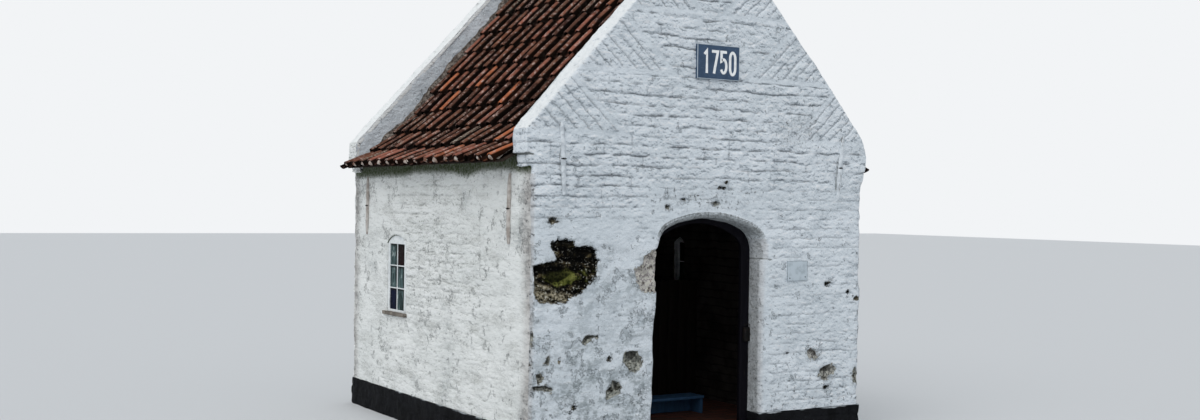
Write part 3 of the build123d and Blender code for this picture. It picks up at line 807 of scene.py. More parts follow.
# Each hole is an ellipse: its middle in u and v, its width, height and kind.
small_holes = np.array([
    (-1.33, 1.68, 0.085, 0.05, 0.30), (-1.272, 0.705, 0.022, 0.055, 0.30),
    (-0.862, 0.71, 0.04, 0.034, 0.25), (-1.14, 0.388, 0.036, 0.024, 0.20),
    (-1.184, 0.355, 0.022, 0.012, 0.00), (1.02, 0.65, 0.12, 0.085, 0.75),
    (1.16, 0.51, 0.15, 0.12, 0.65), (1.15, 0.39, 0.06, 0.03, 0.20), (1.148, 1.198, 0.05, 0.035, 0.15),
    (1.358, 1.133, 0.03, 0.024, 0.10), (1.445, 1.077, 0.05, 0.045, 0.30),
    (0.754, 0.671, 0.03, 0.024, 0.00), (1.46, 0.45, 0.08, 0.12, 0.60),
    (-0.377, 1.79, 0.046, 0.04, 0.45), (-0.23, 1.845, 0.11, 0.018, 0.40),
    (-0.16, 1.872, 0.055, 0.014, 0.00), (0.055, 1.815, 0.07, 0.034, 0.45),
    (0.115, 1.935, 0.06, 0.02, 0.10), (0.15, 1.97, 0.026, 0.02, 0.00),
    (-1.488, 0.875, 0.03, 0.105, 0.45), (-1.494, 0.7, 0.022, 0.05, 0.30),
])
anchor_u = (-1.265, 1.265)


def torn_depth(flat):
    """Distance inside the nearest torn patch or hole, negative outside, and its kind. In the
    big patch the kind falls below 0 where moss grows and rises towards the stony foot."""
    damage, kind = np.full(len(flat), -0.1), np.zeros(len(flat))
    for shade, outline in torn_patches:
        outline = np.array(outline)
        near = np.all(np.abs(flat - outline.mean(axis=0)) < np.ptp(outline, axis=0) / 2 + 0.12, axis=1)
        depth = nearest(flat[near], [ring_of(outline)])[0]
        depth = np.where(inside(flat[near], outline), depth, -depth)
        kind[near] = np.where(depth > damage[near], shade, kind[near])
        damage[near] = np.maximum(damage[near], depth)
    flat3 = np.insert(flat, 2, 0, axis=1)
    ragged = 0.34 * noise(flat3, 0.055, 31) + 0.22 * noise(flat3, 0.025, 32)
    u, v = flat.T
    for hole_u, hole_v, wide, high, shade in small_holes:
        reach = np.hypot((u - hole_u) / wide, (v - hole_v) / high) * 2 + ragged
        depth = (1 - reach) * min(wide, high) / 2
        kind = np.where(depth > damage, shade, kind)
        damage = np.maximum(damage, depth)
    in_big = (u < -0.9) & (v > 1.08) & (v < 1.60)
    moss = fade(0.35, 1.0, np.hypot((u + 1.245) / 0.19, (v - 1.285) / 0.08))
    foot = 0.31 * ease(-0.05, 0.06, 1.28 - 0.34 * (u + 1.48) - v)
    return damage, np.where(in_big, foot - moss, kind)


# %% [markdown]
# The stains are places too: rain runs off the date plate and leaves a speckled field, soot
# lies over the door, the rounded edge of the arch is darker, each anchor has a dark line
# beside it, and splashing rain makes the foot of the wall grey. Painted shade lies along the
# crease round the arch and, with some soot, under the left kneeler. Each is a distance put
# through the curve "ease".

# %% Weathering of the front
def front_grime_and_shade(u, v, edge, flat3, door_gap):
    """Soiling from 0 to 1, with painted shade under the left kneeler and in the arch's crease,
    then the dark ring in the arch and the speckled field on the right.
    """
    speckled = fade(0.25, 1.0, np.hypot((u - 0.82) / 0.42, (v - 2.40) / 0.32) + 0.3 * edge)
    grime = 0.55 * speckled + 0.40 * fade(0.03, 0.22, np.hypot((u - 0.1) / 2.6, v - 1.86))
    grime = grime + 0.40 * fade(0.25, 0.8, v) * (0.5 + noise(flat3, 0.4, 23))
    for middle, lean, off, wide in ((anchor_u[0], -0.05, 0.021, 0.008), (anchor_u[1], 0.10, 0.030, 0.018)):
        beside = np.abs(u - middle + off - lean * (v - 2.11))
        streak = fade(0.5 * wide, wide, beside) * fade(0.10, 0.22, np.abs(v - 2.06))
        grime = np.maximum(grime, streak * (0.75 + 0.4 * edge))
    # Under the left kneeler a dark line is partly soot and partly painted shade. Along the crease round the
    # arch a dark line is painted shade.
    kneeler_dirt_and_shade = fade(0.004, 0.014, np.abs(v - 2.137 + 0.006 * edge)) * ease(-1.46, -1.50, u)
    arch_crease_shade = fade(0.004, 0.010, np.abs(door_gap - 0.046 + 0.006 * edge)) * ease(1.50, 1.60, v)
    in_arch = 0.8 * fade(0.032, 0.050, door_gap + 0.008 * edge) * ease(1.45, 1.60, v)
    crack = np.hypot(np.clip(np.abs(u - 0.535) - 0.050, 0, None), v - 1.395 + 0.10 * (u - 0.50) + 0.02 * edge)
    in_arch = np.maximum(in_arch, fade(0.003, 0.009, crack))
    on_jamb = 0.66 * fade(0.0, 0.024, door_gap)
    return np.maximum.reduce([grime, kneeler_dirt_and_shade, 0.85 * arch_crease_shade, in_arch, on_jamb]), in_arch, speckled


def front_marks(flat):
    """Smooth render round the arch and low on the left; torn patches, with painted shadow under
    their upper edges; soiling, with painted shade under the left kneeler and in the arch's
    crease; pits and flakes; dust and painted shade near the corner.
    """
    flat3 = np.insert(flat, 2, 0, axis=1)
    u, v = flat.T
    door_gap, from_side = nearest(flat, [doorway])[0], half_width - np.abs(u)
    edge = 0.5 * noise(flat3, 0.3, 20) + 0.3 * noise(flat3, 0.1, 21)
    low_left = fade(-0.75, -0.35, u + 0.15 * edge) * fade(1.55, 1.95, v + 0.25 * edge)
    band = fade(0.07, 0.16, door_gap + 0.03 * edge)
    over_arch = fade(0.5, 0.8, np.abs(u)) * fade(1.85, 2.1, v + 0.1 * edge)
    beside_right = ease(0.45, 0.60, u) * fade(1.85, 2.15, v)
    smooth = np.maximum.reduce([low_left, band, 0.8 * over_arch * (u < 0.55), 0.55 * beside_right])
    smooth = smooth + 0.30 * edge
    damage, kind = torn_depth(flat)
    from_above = torn_depth(flat + (0, 0.013))[0]
    shade = ease(0.003, 0.012, damage - from_above) * ease(-0.004, 0.004, damage)
    grime, in_arch, speckled = front_grime_and_shade(u, v, edge, flat3, door_gap)
    near_hole = ease(-0.07, 0.0, damage)
    over_door = fade(0.35, 0.75, np.abs(u)) * fade(0.04, 0.16, np.abs(v - 1.85 + 0.05 * edge))
    corner = fade(0.02, 0.07, from_side) * (v < 1.9)
    pitted = np.maximum.reduce([0.75 * speckled, 0.5 * near_hole, 0.9 * over_door, 0.6 * fade(0.35, 0.75, v),
                                0.8 * in_arch, corner]) + 0.25 * edge + 0.22 * beside_right
    low_flakes = fade(1.35, 1.75, v + 0.3 * edge) * (0.85 + 0.5 * edge) * (0.25 + 0.75 * fade(-0.3, 0.3, u))
    # At the corner this value is partly dust and partly painted shade towards the rounded corner; beside the
    # right jamb it is dust.
    corner_dust_and_shade = 0.7 * fade(0.0, 0.035, from_side) * (v < 2.0)
    dusty_jamb = 0.55 * fade(0.010, 0.060, door_gap + 0.02 * edge) * (u > 0) * (v < 1.55)
    return dict(smooth=np.clip(smooth, 0, 1), damage=damage, kind=kind, grime=np.clip(grime, 0, 1),
                pitted=np.clip(pitted, 0, 1), flaky=np.clip(np.maximum(low_flakes, 0.8 * near_hole), 0, 1),
                shade=shade, dusty=np.maximum(corner_dust_and_shade, dusty_jamb))


# %% Weathering of the other walls
def plain_marks(flat, **own):
    """Little weathering: a quarter smooth, no damage, a breath of soiling. A wall can have its own."""
    none = np.zeros(len(flat))
    mark = dict(smooth=0.25 + 0.25 * noise(np.insert(flat, 2, 0, axis=1), 0.4, 25), damage=none - 0.1,
                kind=none, grime=none + 0.1, pitted=none + 0.2, flaky=none + 0.2, shade=none, dusty=none)
    return {**mark, **own}


def side_marks(flat, window_at):
    """Thick smooth wash, moss and painted shade under the eaves, a grey speckled area in the
    middle, a dark line along the arched head of the window's recess that is partly soiling
    and partly painted shadow, and dust with painted shade towards the corners."""
    flat3 = np.insert(flat, 2, 0, axis=1)
    u, v = flat.T
    edge = noise(flat3, 0.3, 26)
    # Under the eaves the olive band is moss and painted shade.
    eaves_moss_and_shade = ease(1.93, 2.07, v + 0.03 * edge)
    blotch = fade(0.2, 1.0, np.hypot(u / 0.85, (v - 1.25) / 0.75) + 0.5 * edge)
    smooth = np.clip(0.72 + 0.35 * noise(flat3, 0.5, 27) + ease(0.9, 1.3, np.abs(u)), 0, 1)
    gap = nearest(flat, [ring_of(window_hole(window_at, recess_half, recess_low))])[0]
    # The line round the recess head is partly soiling and partly painted shadow, stronger on its far half.
    outer_half = 0.65 + 0.35 * (np.abs(u) > recess_y - 0.03)
    recess_dirt_and_shadow = fade(0.002, 0.010, gap) * (v > window_spring) * outer_half
    # Towards both corners the wall is greyed by dust and painted shade.
    corner = ease(half_length - 0.20, half_length - 0.05, np.abs(u) + 0.03 * edge)
    return plain_marks(flat, smooth=smooth, dusty=0.8 * corner,
                       grime=np.clip(np.maximum(eaves_moss_and_shade + 0.35 * blotch, recess_dirt_and_shadow), 0, 1),
                       pitted=np.clip(0.6 * blotch + 0.2 * edge + corner, 0, 1),
                       flaky=np.clip(0.35 + 0.4 * edge + 0.5 * corner, 0, 1))


# %% [markdown]
# ## The four walls
#
# The front and rear are whole gables with their kneelers, and go back 195 mm to the parapet's
# inner face. The side walls run from corner to corner behind them, with a window hole each.

# %% Elevations and reveals
front = ((0, -half_length, 0), (1, 0, 0), (0, -1, 0), 0.0)
right = ((half_width, 0, 0), (0, 1, 0), (1, 0, 0), half_width + half_length)
rear = ((0, half_length, 0), (-1, 0, 0), (0, 1, 0), 2 * half_width + 2 * half_length)
left = ((-half_width, 0, 0), (0, -1, 0), (-1, 0, 0), -half_width - half_length)
arris, reveal_arris, corner_arris, window_arris = 0.018, 0.034, 0.034, 0.006
kneeler_columns = half_width + np.array([0.014, 0.028, 0.042, 0.057])
through = [(round(0.036 + 0.016 * k, 3), 0.0) for k in range(10)]
through += [(0.191, 0.004), (wall, 0.014), (wall, 0.035)]


def gable_across(step):
    """Columns of a gable, with extra ones for the kneelers."""
    middle = np.linspace(-half_width, half_width, int(round(2 * half_width / step)) + 1)
    return np.concatenate([-kneeler_columns[::-1], middle, kneeler_columns])


# %% [markdown]
# The plaster of the doorway has moved: on the left the thick coat overhangs the jamb, and on
# the right the arch is worn wide down to a ledge at its spring. Behind the two plates the wall
# is pressed back, so that no lump of the wash comes through them.

# %% Front
def worn_doorway(points):
    """Moves the plaster round the door sideways, all of it at the front face and nothing
    110 mm in: up to 38 mm over the left jamb, and 42 mm wider on the right."""
    u, deep, v = points[:, 0], points[:, 1] + half_length, points[:, 2]
    over_left = (0.012 + 0.026 * ease(0.80, 1.25, v)) * fade(1.52, 1.72, v) * ease(0.24, 0.50, v)
    worn_right = 0.042 * ease(1.385, 1.405, v) * fade(1.50, 1.72, v)
    near = fade(0.0, 0.16, np.abs(u) - door_half) * (1 - np.clip(deep / 0.11, 0, 1))
    return points + np.column_stack([np.where(u < 0, over_left, worn_right) * near, 0 * u, 0 * u])


gable_levels, apex_cut, behind_plate = wall_levels(wall_foot, apex, fine_rows), apex - 0.002, 0.006
points, faces, values = brick_sheet(front, gable_across(0.0118), gable_levels, front_outline,
                                    [front_gable, doorway], (arris, reveal_arris), through, front_marks,
                                    corner=half_width, corner_arris=corner_arris)
points = worn_doorway(points)
points[:, 2] = np.minimum(points[:, 2], apex_cut)
for plate in ("notice_plaque", "date_plate"):
    low, high = np.array(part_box(plate))
    behind = np.all((points[:, ::2] > low[::2] - 0.012) & (points[:, ::2] < high[::2] + 0.012), axis=1)
    behind &= points[:, 1] < -half_length + 0.03
    points[behind, 1] = np.maximum(points[behind, 1], low[1] + behind_plate)
add_piece("front_brickwork", points, faces, [sky_tinted_wash], values=values,
          nodes=("front_wall_left", "front_wall_right", "front_gable", "kneeler_front_left",
                 "kneeler_front_right"))

# %% Rear and sides
points, faces, values = brick_sheet(rear, gable_across(0.0170), gable_levels, gable, [gable], (arris,),
                                    through, plain_marks, corner=half_width, corner_arris=corner_arris)
points[:, 2] = np.minimum(points[:, 2], apex_cut)
add_piece("rear_brickwork", points, faces, [side_wash], values=values,
          nodes=("rear_wall", "kneeler_rear_left", "kneeler_rear_right"))


def upright_rectangle(across, low, high):
    """Outline of a wall from its first to its last column, between two heights."""
    return np.array([(across[0], low), (across[-1], low), (across[-1], high), (across[0], high)])


levels = wall_levels(wall_foot, eaves_top, fine_rows)
across = np.linspace(-half_length + corner_arris, half_length - corner_arris, 266)
outline = upright_rectangle(across, wall_foot, eaves_top)
for name, elevation, middle in (("left", left, -recess_y), ("right", right, recess_y)):
    hole = window_hole(middle, recess_half, recess_low)
    points, faces, values = brick_sheet(elevation, across, levels, outline, [ring_of(hole)[::-1]],
                                        (window_arris,), [(0.012, 0.0), (0.030, 0.0), (0.068, 0.0)],
                                        lambda flat: side_marks(flat, middle), opening=hole)
    add_piece(name + "_brickwork", points, faces, [side_wash], values=values,
              nodes=(name + "_wall",))

# %% [markdown]
# ## Inner faces
#
# Inside, the same walls are painted dark brown-grey: the colour is painted shade for the unlit
# room. Above the roof the inner face of each gable is a parapet, and has the weathered
# limewash of the outside.

# %% Dark limewash of the room, painted shade
room_shade_wash, add, shader = new_material("limewash of the room, darkened as painted shade", 0.95, 0.1)
# The room's dark brown-grey is painted shade; the joints are darker still.
room_shade_colour = stain(add, "#4A4542", "#2F2B29", speckle(add, 5, 5), 0.35, 0.65)
joint_dark = add(scurve, add(fold, add("Attribute course", out="Fac"), 0.5), 0.12, 0.02)
room_shade_colour = add(blend, add(times, joint_dark, 0.6), room_shade_colour, "#1A1817")
put_on(shader, room_shade_colour, add(times, joint_dark, -0.004))

# %% Parapets and the gables' room side
roof_x = np.array([0, 1.0530, 1.2446, 1.4566, 1.6900])
roof_z = np.array([3.8179, 2.5936, 2.4150, 2.2610, 2.1420])
room_half, below_tiles, face_step = half_width - 0.02, 0.05, 0.03


def roof_top(x):
    """Height of the tile crests at a distance from the ridge line."""
    return np.interp(np.abs(x), roof_x, roof_z)


coarse = wall_levels(floor_top, apex, coarse_rows)
foot_line = np.array([(room_half, floor_top), (-room_half, floor_top)])
inner_gable = np.vstack([foot_line[:1], gable[1:-1], foot_line[1:]])
inner_front = np.vstack([foot_line[:1], (front_gable * (-1, 1))[::-1][1:-1], foot_line[1:]])
gable_corners = len(inner_front)
inner_front = np.concatenate([inner_front, [(-door_half, floor_top)], doorway[1:-1],
                              [(door_half, floor_top)]])
for name, origin, normal, outline, lines, owner in (
        ("front_inner_face", -half_length + wall, 1, inner_front,
         [inner_front[:gable_corners], inner_front[gable_corners:]], "front_gable"),
        ("rear_inner_face", half_length - wall, -1, inner_gable, [inner_gable], "rear_wall")):
    elevation = ((0, origin, 0), (-normal, 0, 0), (0, normal, 0), 20.0)
    points, faces, values = brick_sheet(elevation, gable_across(face_step), coarse, outline, lines,
                                        (0.001, 0.001), [], plain_marks)
    points[:, 1] -= 0.0015 * normal
    middle = points[faces].mean(axis=1)
    below = middle[:, 2] < roof_top(middle[:, 0]) - below_tiles
    values["smooth"] = np.full(len(points), 0.9)
    values["grime"] = np.full(len(points), 0.10)
    add_piece(name, points, faces, [sky_tinted_wash, room_shade_wash], values=values, finish=below,
              nodes=(owner,))

# %% Side walls from the room
room_top, room_x = 2.20, half_width - wall
levels = wall_levels(floor_top, room_top, coarse_rows)
across = np.linspace(-half_length + wall, half_length - wall, 100)
outline = upright_rectangle(across, floor_top, room_top)
for name, sign in (("left", 1), ("right", -1)):
    elevation = ((-sign * room_x, 0, 0), (0, sign, 0), (sign, 0, 0), 30.0)
    hole = window_hole(sign * window_y)
    points, faces, values = brick_sheet(elevation, across, levels, outline, [ring_of(hole)[::-1]], (0.008,),
                                        [(0.03, 0), (0.08, 0), (0.130, 0)], plain_marks, opening=hole)
    add_piece(name + "_inner_face", points, faces, [room_shade_wash], values=values,
              nodes=(name + "_wall",))

# %% [markdown]
# ## The tarred foot of the walls
#
# The lowest 23 cm are painted with black tar against splashing rain. The brush line along
# its top is not straight, and the coat is worn grey in specks.

# %% Tar
tar, add, shader = new_material("brushed coal tar on plaster", 0.75, 0.08)
black = stain(add, "#0C0D0F", "#17181B", speckle(add, 9, 5), 0.35, 0.65)
black = stain(add, black, "#2F3136", speckle(add, 55, 4, 0.7), 0.58, 0.70, 0.7)
above_ground = add("SeparateXYZ", add("TexCoord", out="Object"), out="Z")
brush_line = add(plus, above_ground, add(times_plus, speckle(add, 6, 5), 0.05, -0.025))
black = stain(add, black, "#A9B0B5", brush_line, wall_foot - 0.006, wall_foot + 0.002)
put_on(shader, black, add(times, speckle(add, 30, 5), 0.004))

# %% Plinth
plinth_proud, plinth_arris, plinth_column = 0.006, 0.012, 0.015
plinth_levels = wall_levels(0.0, wall_foot, fine_rows)
plinth_half, plinth_long = half_width + plinth_proud, half_length + plinth_proud
plinth_rings = [(0.03, 0.0), (0.11, 0.0), (wall, 0.0)]


def plinth_run(name, elevation, low, high, corner, node_name):
    """A strip of tarred wall foot between two places along an elevation."""
    outline = np.array([(low, 0.0), (high, 0.0), (high, wall_foot), (low, wall_foot)])
    columns = np.linspace(low, high, int(round((high - low) / plinth_column)) + 1)
    points, faces, values = brick_sheet(elevation, columns, plinth_levels, outline,
                                        [np.roll(outline, -1, axis=0)], (plinth_arris,),
                                        plinth_rings, plain_marks, corner=corner)
    points[:, 2] = np.clip(points[:, 2], 0, None)
    add_piece(name, points, faces, [tar], values=values, nodes=(node_name,))


plinth_front = ((0, -plinth_long, 0), (1, 0, 0), (0, -1, 0), 0.0)
plinth_rear = ((0, plinth_long, 0), (-1, 0, 0), (0, 1, 0), rear[3])
for side_name, low, high in (("front_left", -plinth_half, -door_half),
                             ("front_right", door_half, plinth_half)):
    plinth_run("tarred_foot_" + side_name, plinth_front, low, high, plinth_half, "plinth_" + side_name)
plinth_run("tarred_foot_rear", plinth_rear, -plinth_half, plinth_half, plinth_half, "plinth_rear")
for side_name, x, sign in (("left", -plinth_half, -1), ("right", plinth_half, 1)):
    plinth_side = ((x, 0, 0), (0, sign, 0), (sign, 0, 0), sign * right[3])
    plinth_run("tarred_foot_" + side_name, plinth_side, -plinth_long + plinth_arris,
               plinth_long - plinth_arris, 0.0, "plinth_" + side_name)

# %% [markdown]
# ## Pantiles
#
# The roof has 16 columns of hand-made pantiles, laid dry in ten rows. Each tile has a roll
# along one side that hooks over its neighbour, and a shallow pan. The free edge of the roll
# is at the right as one faces the slope. Each tile lies flatter than the roof, so its lower
# end stands out and casts a shadow on the row below. Fired clay is matt. The flanks of the
# rolls, the pans and the tiles' undersides are painted near black as painted shade, a little
# less in the middle of the pan, and the old surface has pale worn specks and lichen.

# %% Fired clay
clay, add, shader = new_material("weathered red clay pantile", 0.78, 0.02)
tone, fresh, lichen, hollow = (
    add("Attribute " + key, out="Fac") for key in ("tone", "fresh", "lichen", "hollow"))
fired = stain(add, "#48332D", "#6E4A3B", tone, 0.0, 0.55)
spots = add(plus, speckle(add, 60, 3, 0.7), add(times, lichen, 0.16))
# The last layer is painted shade: the value hollow paints the rolls' flanks, the pans and the undersides near
# black.
for pattern, low, high, strength, code in (
        (tone, 0.45, 0.90, 1.0, "#9A6252"), (fresh, 0.50, 1.0, 1.0, "#B36A49"),
        (speckle(add, 6, 5, 0.65), 0.48, 0.64, 0.80, "#33221F"),
        (speckle(add, 30, 5, 0.7), 0.53, 0.66, 0.80, "#CBB0A6"),
        (spots, 0.66, 0.76, 0.85, "#8C8376"), (spots, 0.78, 0.88, 0.80, "#B9B2A4"),
        (hollow, 0.12, 0.75, 0.97, "#050403")):
    fired = stain(add, fired, code, pattern, low, high, strength)
put_on(shader, fired, add(times, speckle(add, 60, 5), 0.003))

# %% Tile shape and places
columns, tile_pitch, first_crest = 16, 0.1825, -1.345
slope_x, slope_z = -roof_x[::-1], roof_z[::-1]
slope_length = np.concatenate([[0], np.cumsum(np.hypot(np.diff(slope_x), np.diff(slope_z)))])
lips = np.concatenate([[0, 0.262, 0.524], 0.786 + 0.25 * np.arange(7)])
tile_lap, lip_step, tile_thick = 0.045, 0.027, 0.012
roll_half, roll_high = 0.046, 0.052
outermost = 1.689


def tile_profile(w):
    """Height of a pantile's top above its pan, for distances from the roll's crest: the roll
    is a steep ellipse 92 mm wide and 52 mm high, the pan dips and its rim turns up."""
    roll = roll_high * (1 - np.clip(np.abs(w) / roll_half, 0, 1)**2.2)**0.60
    across_pan = np.clip((w - 0.042) / 0.105, 0, 1)
    pan = 0.003 - 0.004 * np.sin(np.pi * across_pan) + 0.016 * across_pan**5
    return np.where(w < roll_half, np.maximum(roll, pan), pan)


def slope_point(s):
    """The point (x, z) of the crest line at a length up the left slope."""
    return np.stack([np.interp(s, slope_length, slope_x), np.interp(s, slope_length, slope_z)], -1)


def unit(vectors):
    """The same directions, one long."""
    return vectors / np.linalg.norm(vectors, axis=-1)[..., None]


# %% [markdown]
# Every tile is the same grid of distances w across it and shares t of its length. Random
# skew, swell, slip, drift, sag and hog make no two alike, because each was pressed by hand,
# dried a little crooked and has slipped since. The inner layer closes it 12 mm below.

# %% Lay the tiles
def lay_tiles(turned, seed):
    """All tiles of one slope, with their tone, freshness and lichen. turned=True swings the
    slope half round the vertical, which gives the right-hand slope."""
    random = np.random.default_rng(seed)
    count = columns * len(lips)
    row, column = np.divmod(np.arange(count), columns)
    low = slope_point(lips[row])
    upper = slope_point(np.append(lips, slope_length[-1])[row + 1])
    lean = unit(upper - low)
    upper = upper + lip_step * np.column_stack([lean[:, 1], -lean[:, 0]])
    length = np.linalg.norm(upper - low, axis=1) + tile_lap
    lean = unit(upper - low)
    over_roll = (roll_half - 0.0002) * np.sin(np.radians(np.linspace(-90, 90, 13)))
    across = np.concatenate([over_roll, [0.062, 0.085, 0.110, 0.135, 0.150]])
    along = np.linspace(0, 1, 6)
    w, t = grid(across, along)
    skew = random.normal(0, 0.012, count)[:, None]
    swell = random.normal(1, 0.07, count)[:, None]
    slip = np.abs(random.normal(0, 0.006, count))[:, None]
    drift = random.normal(0, 0.003, count)[:, None] + 0.004 * np.sin(column * 1.7 + row * 0.6)[:, None]
    sag = random.normal(0, 0.0025, count)[:, None]
    hog = random.normal(0.002, 0.0015, count)[:, None]
    s = length[:, None] * t + slip
    height = tile_profile(w) * swell - roll_high + sag + hog * np.sin(np.pi * t) + 0.03 * skew * (w - 0.05)
    y = first_crest + tile_pitch * column[:, None] + w + drift + skew * s
    layers = []
    for thickness in (0, tile_thick):
        level = np.maximum(height - thickness, lip_step * t - 0.077 + 0.001 * (thickness == 0))
        x = low[:, :1] + s * lean[:, :1] - level * lean[:, 1:]
        z = low[:, 1:] + s * lean[:, 1:] + level * lean[:, :1]
        layers.append(np.stack([x, y, z], -1))
    points = np.concatenate(layers, axis=1).reshape(-1, 3)
    each = len(w)
    template = slab_faces(grid_faces(len(across), len(along))[:, ::-1], each)
    faces = (template + 2 * each * np.arange(count)[:, None, None]).reshape(-1, 4)
    points += shiver(points, 0.0015, 0.05, 40)
    points[:, 0] = np.clip(points[:, 0], -outermost, 0.03)
    tone = np.clip(random.beta(2.2, 3.0, count) + 0.30 * (row == 0) + 0.12 * (row == 1), 0, 1)
    fresh = random.uniform(0, 1, count) ** 7
    lichen = random.uniform(0, 1, count) ** 4 + 0.3 * (column > 13) * (row > 1) + 0.35 * (row < 3)
    values = {key: np.repeat(v, 2 * each) for key, v in dict(tone=tone, fresh=fresh, lichen=lichen).items()}
    # hollow is painted shade: it rises from the roll's crest to its flanks and the pan, is lighter in the
    # middle of the pan, and is 0.8 on the underside.
    mid_pan = ease(0.058, 0.085, w) * (1 - ease(0.112, 0.138, w))
    dirt_and_shade = ease(0.40, 0.90, np.abs(w) / roll_half) * (1 - 0.42 * mid_pan)
    values["hollow"] = np.tile(np.concatenate([dirt_and_shade, np.full(each, 0.8)]), count)
    return (points * half_turn if turned else points), faces, values


for side_name, turned, seed in (("left", False, 11), ("right", True, 12)):
    points, faces, values = lay_tiles(turned, seed)
    add_piece("pantiles_" + side_name, points, faces, [clay], values=values,
              nodes=("roof_tiles_" + side_name,), crease=50)

# %% [markdown]
# ## Lime mortar on the roof
#
# The hollow ends of the rolls along the eaves are plugged with lime mortar against birds.
# A rough fillet of the same mortar closes the gap between the tiles and each parapet. Mortar
# is lime and sand, so it is matt, and soot stays in its pores.

# %% Mortar
mortar = plain_finish("rough lime mortar", 0.92, 0.2, ("#958C84", "#6B625B"), (12, 5, 0.35, 0.65),
                      [("#2C231E", 0.9, 45, 5, 0.75, 0.44, 0.54),
                       ("#B9B1A4", 0.8, 70, 4, 0.75, 0.60, 0.68)], (35, 6, 0.7, 0.012))
plug_mortar = plain_finish("pale lime pointing", 0.9, 0.2, ("#C0B6AD", "#74503F"), (18, 5, 0.7, 0.40, 0.60))

# %% Plugs along the eaves and fillets along the parapets
plug_half, plug_hang = 0.0385, 0.022


def eaves_plugs(turned, seed):
    """A bulging lens in the mouth of each roll of the lowest row. Its top follows the roll
    from inside, its bottom hangs as a half ellipse 22 mm deep."""
    random = np.random.default_rng(seed)
    across, up = np.linspace(-0.038, 0.038, 11), np.linspace(0, 1, 7)
    w, t = grid(across, up)
    bottom = -0.036 - plug_hang * np.sqrt(1 - (w / plug_half)**2)
    level = bottom + t * (tile_profile(w) - roll_high - tile_thick + 0.002 - bottom)
    back = 0.010 - 0.022 * (1 - (w / plug_half)**2) * np.sin(np.pi * t)
    low = slope_point(0.0)
    lean = unit(slope_point(lips[1]) - low)
    parts = []
    for column in range(columns):
        deep = back + random.uniform(-0.002, 0.010) + 0.03 * (random.uniform() > 0.75)
        y = first_crest + tile_pitch * column + w
        points = np.column_stack([low[0] + deep * lean[0] - level * lean[1], y,
                                  low[1] + deep * lean[1] + level * lean[0]])
        points += shiver(points, 0.002, 0.02, 50)
        points[:, 0] = np.maximum(points[:, 0], -outermost)
        parts.append((points * half_turn if turned else points, grid_faces(len(across), len(up))[:, ::-1]))
    return joined(parts)


def fillet(turned, at_rear):
    """A strip of mortar up the parapet: on the wall side it stands above the crests by a
    height that grows from the eaves up, and on the tile side it runs down to the pans."""
    s, t = np.linspace(0.02, slope_length[-1], 130), np.linspace(0, 1, 8)
    faces = grid_faces(len(s), len(t))
    above = np.interp(s, [0.0, 0.35, 0.50, 0.75, 1.30, 1.80, 2.40],
                      [-0.06, -0.015, 0.005, 0.012, 0.018, 0.015, 0.010])
    above = np.repeat(above, len(t)) * (1 if at_rear else 0.6)
    s, t = grid(s, t)
    place, lean = slope_point(s), unit(slope_point(s + 0.02) - slope_point(s - 0.02))
    ragged = np.column_stack([s, t, 0 * s])
    level = above * (1 - t) - 0.055 * t**0.8 + 0.016 * noise(ragged * (1, 0.2, 1), 0.09, 60)
    level += 0.010 * noise(ragged * (1, 0.1, 1), 0.035, 61)
    reach = (0.100 + 0.026 * noise(ragged * (1, 0, 1), 0.12, 62)) * t - 0.004
    y = half_length - wall - reach if at_rear else -half_length + wall + reach
    points = np.column_stack([place[:, 0] - level * lean[:, 1], y, place[:, 1] + level * lean[:, 0]])
    return (points * half_turn if turned else points), (faces if at_rear else faces[:, ::-1])


for side_name, turned in (("left", False), ("right", True)):
    points, faces = eaves_plugs(turned, 21)
    add_piece("eaves_mortar_" + side_name, points, faces, [plug_mortar])
    for end_name, at_rear in (("rear", True), ("front", False)):
        points, faces = fillet(turned, at_rear)
        add_piece(f"mortar_fillet_{side_name}_{end_name}", points, faces, [mortar])

# %% [markdown]
# ## Ridge
#
# Half-round ridge tiles, 35 cm long, lap each other along the ridge.

# %% Ridge tiles
ridge_centre, ridge_radius, ridge_thick, ridge_count = 3.783, 0.105, 0.013, 9
ridge_length = (2 * (half_length - wall)) / ridge_count
angle = np.linspace(math.radians(-8), math.radians(188), 21)
along = np.array([0, 0.06, 0.12, 0.5, 0.9, 1.0])
taper = np.array([0.0, 0.0, -0.007, -0.009, -0.011, -0.012])
a, t = grid(angle, along)
faces = slab_faces(grid_faces(len(angle), len(along))[:, ::-1], len(a))
parts, tones = [], []
random = np.random.default_rng(31)
for number in range(ridge_count):
    tilt = random.normal(0, 0.004)
    y = np.minimum(-half_length + wall + ridge_length * (number + t * 1.09) - 0.002, half_length - wall)
    layers = []
    for thickness in (0, ridge_thick):
        radius = ridge_radius + np.interp(t, along, taper) - thickness
        layers.append(np.column_stack([radius * np.cos(a), y, ridge_centre + radius * np.sin(a) + tilt]))
    parts.append((np.concatenate(layers), faces))
    tones.append(np.full(2 * len(a), random.uniform(0.1, 0.7)))
points, faces = joined(parts)
tone = np.concatenate(tones)
add_piece("ridge_row", points, faces, [clay], nodes=("ridge_tiles",),
          values=dict(tone=tone, fresh=0 * tone, lichen=0.6 + 0 * tone, hollow=0 * tone))

# %% [markdown]
# ## Windows
#
# Each side wall has one small window of six panes between wooden bars, under a blank white
# arch. The panes are old glass, one dark red and one blue. The room behind is dark, so they
# are drawn as dark surfaces with the streaks of hand-made glass, small painted reflections of
# the sky, and painted shadow, black, where a bar shades them. The frame, its bars and the
# arch field are painted white with the wall, and the sill is a thin slab of grey-brown stone.

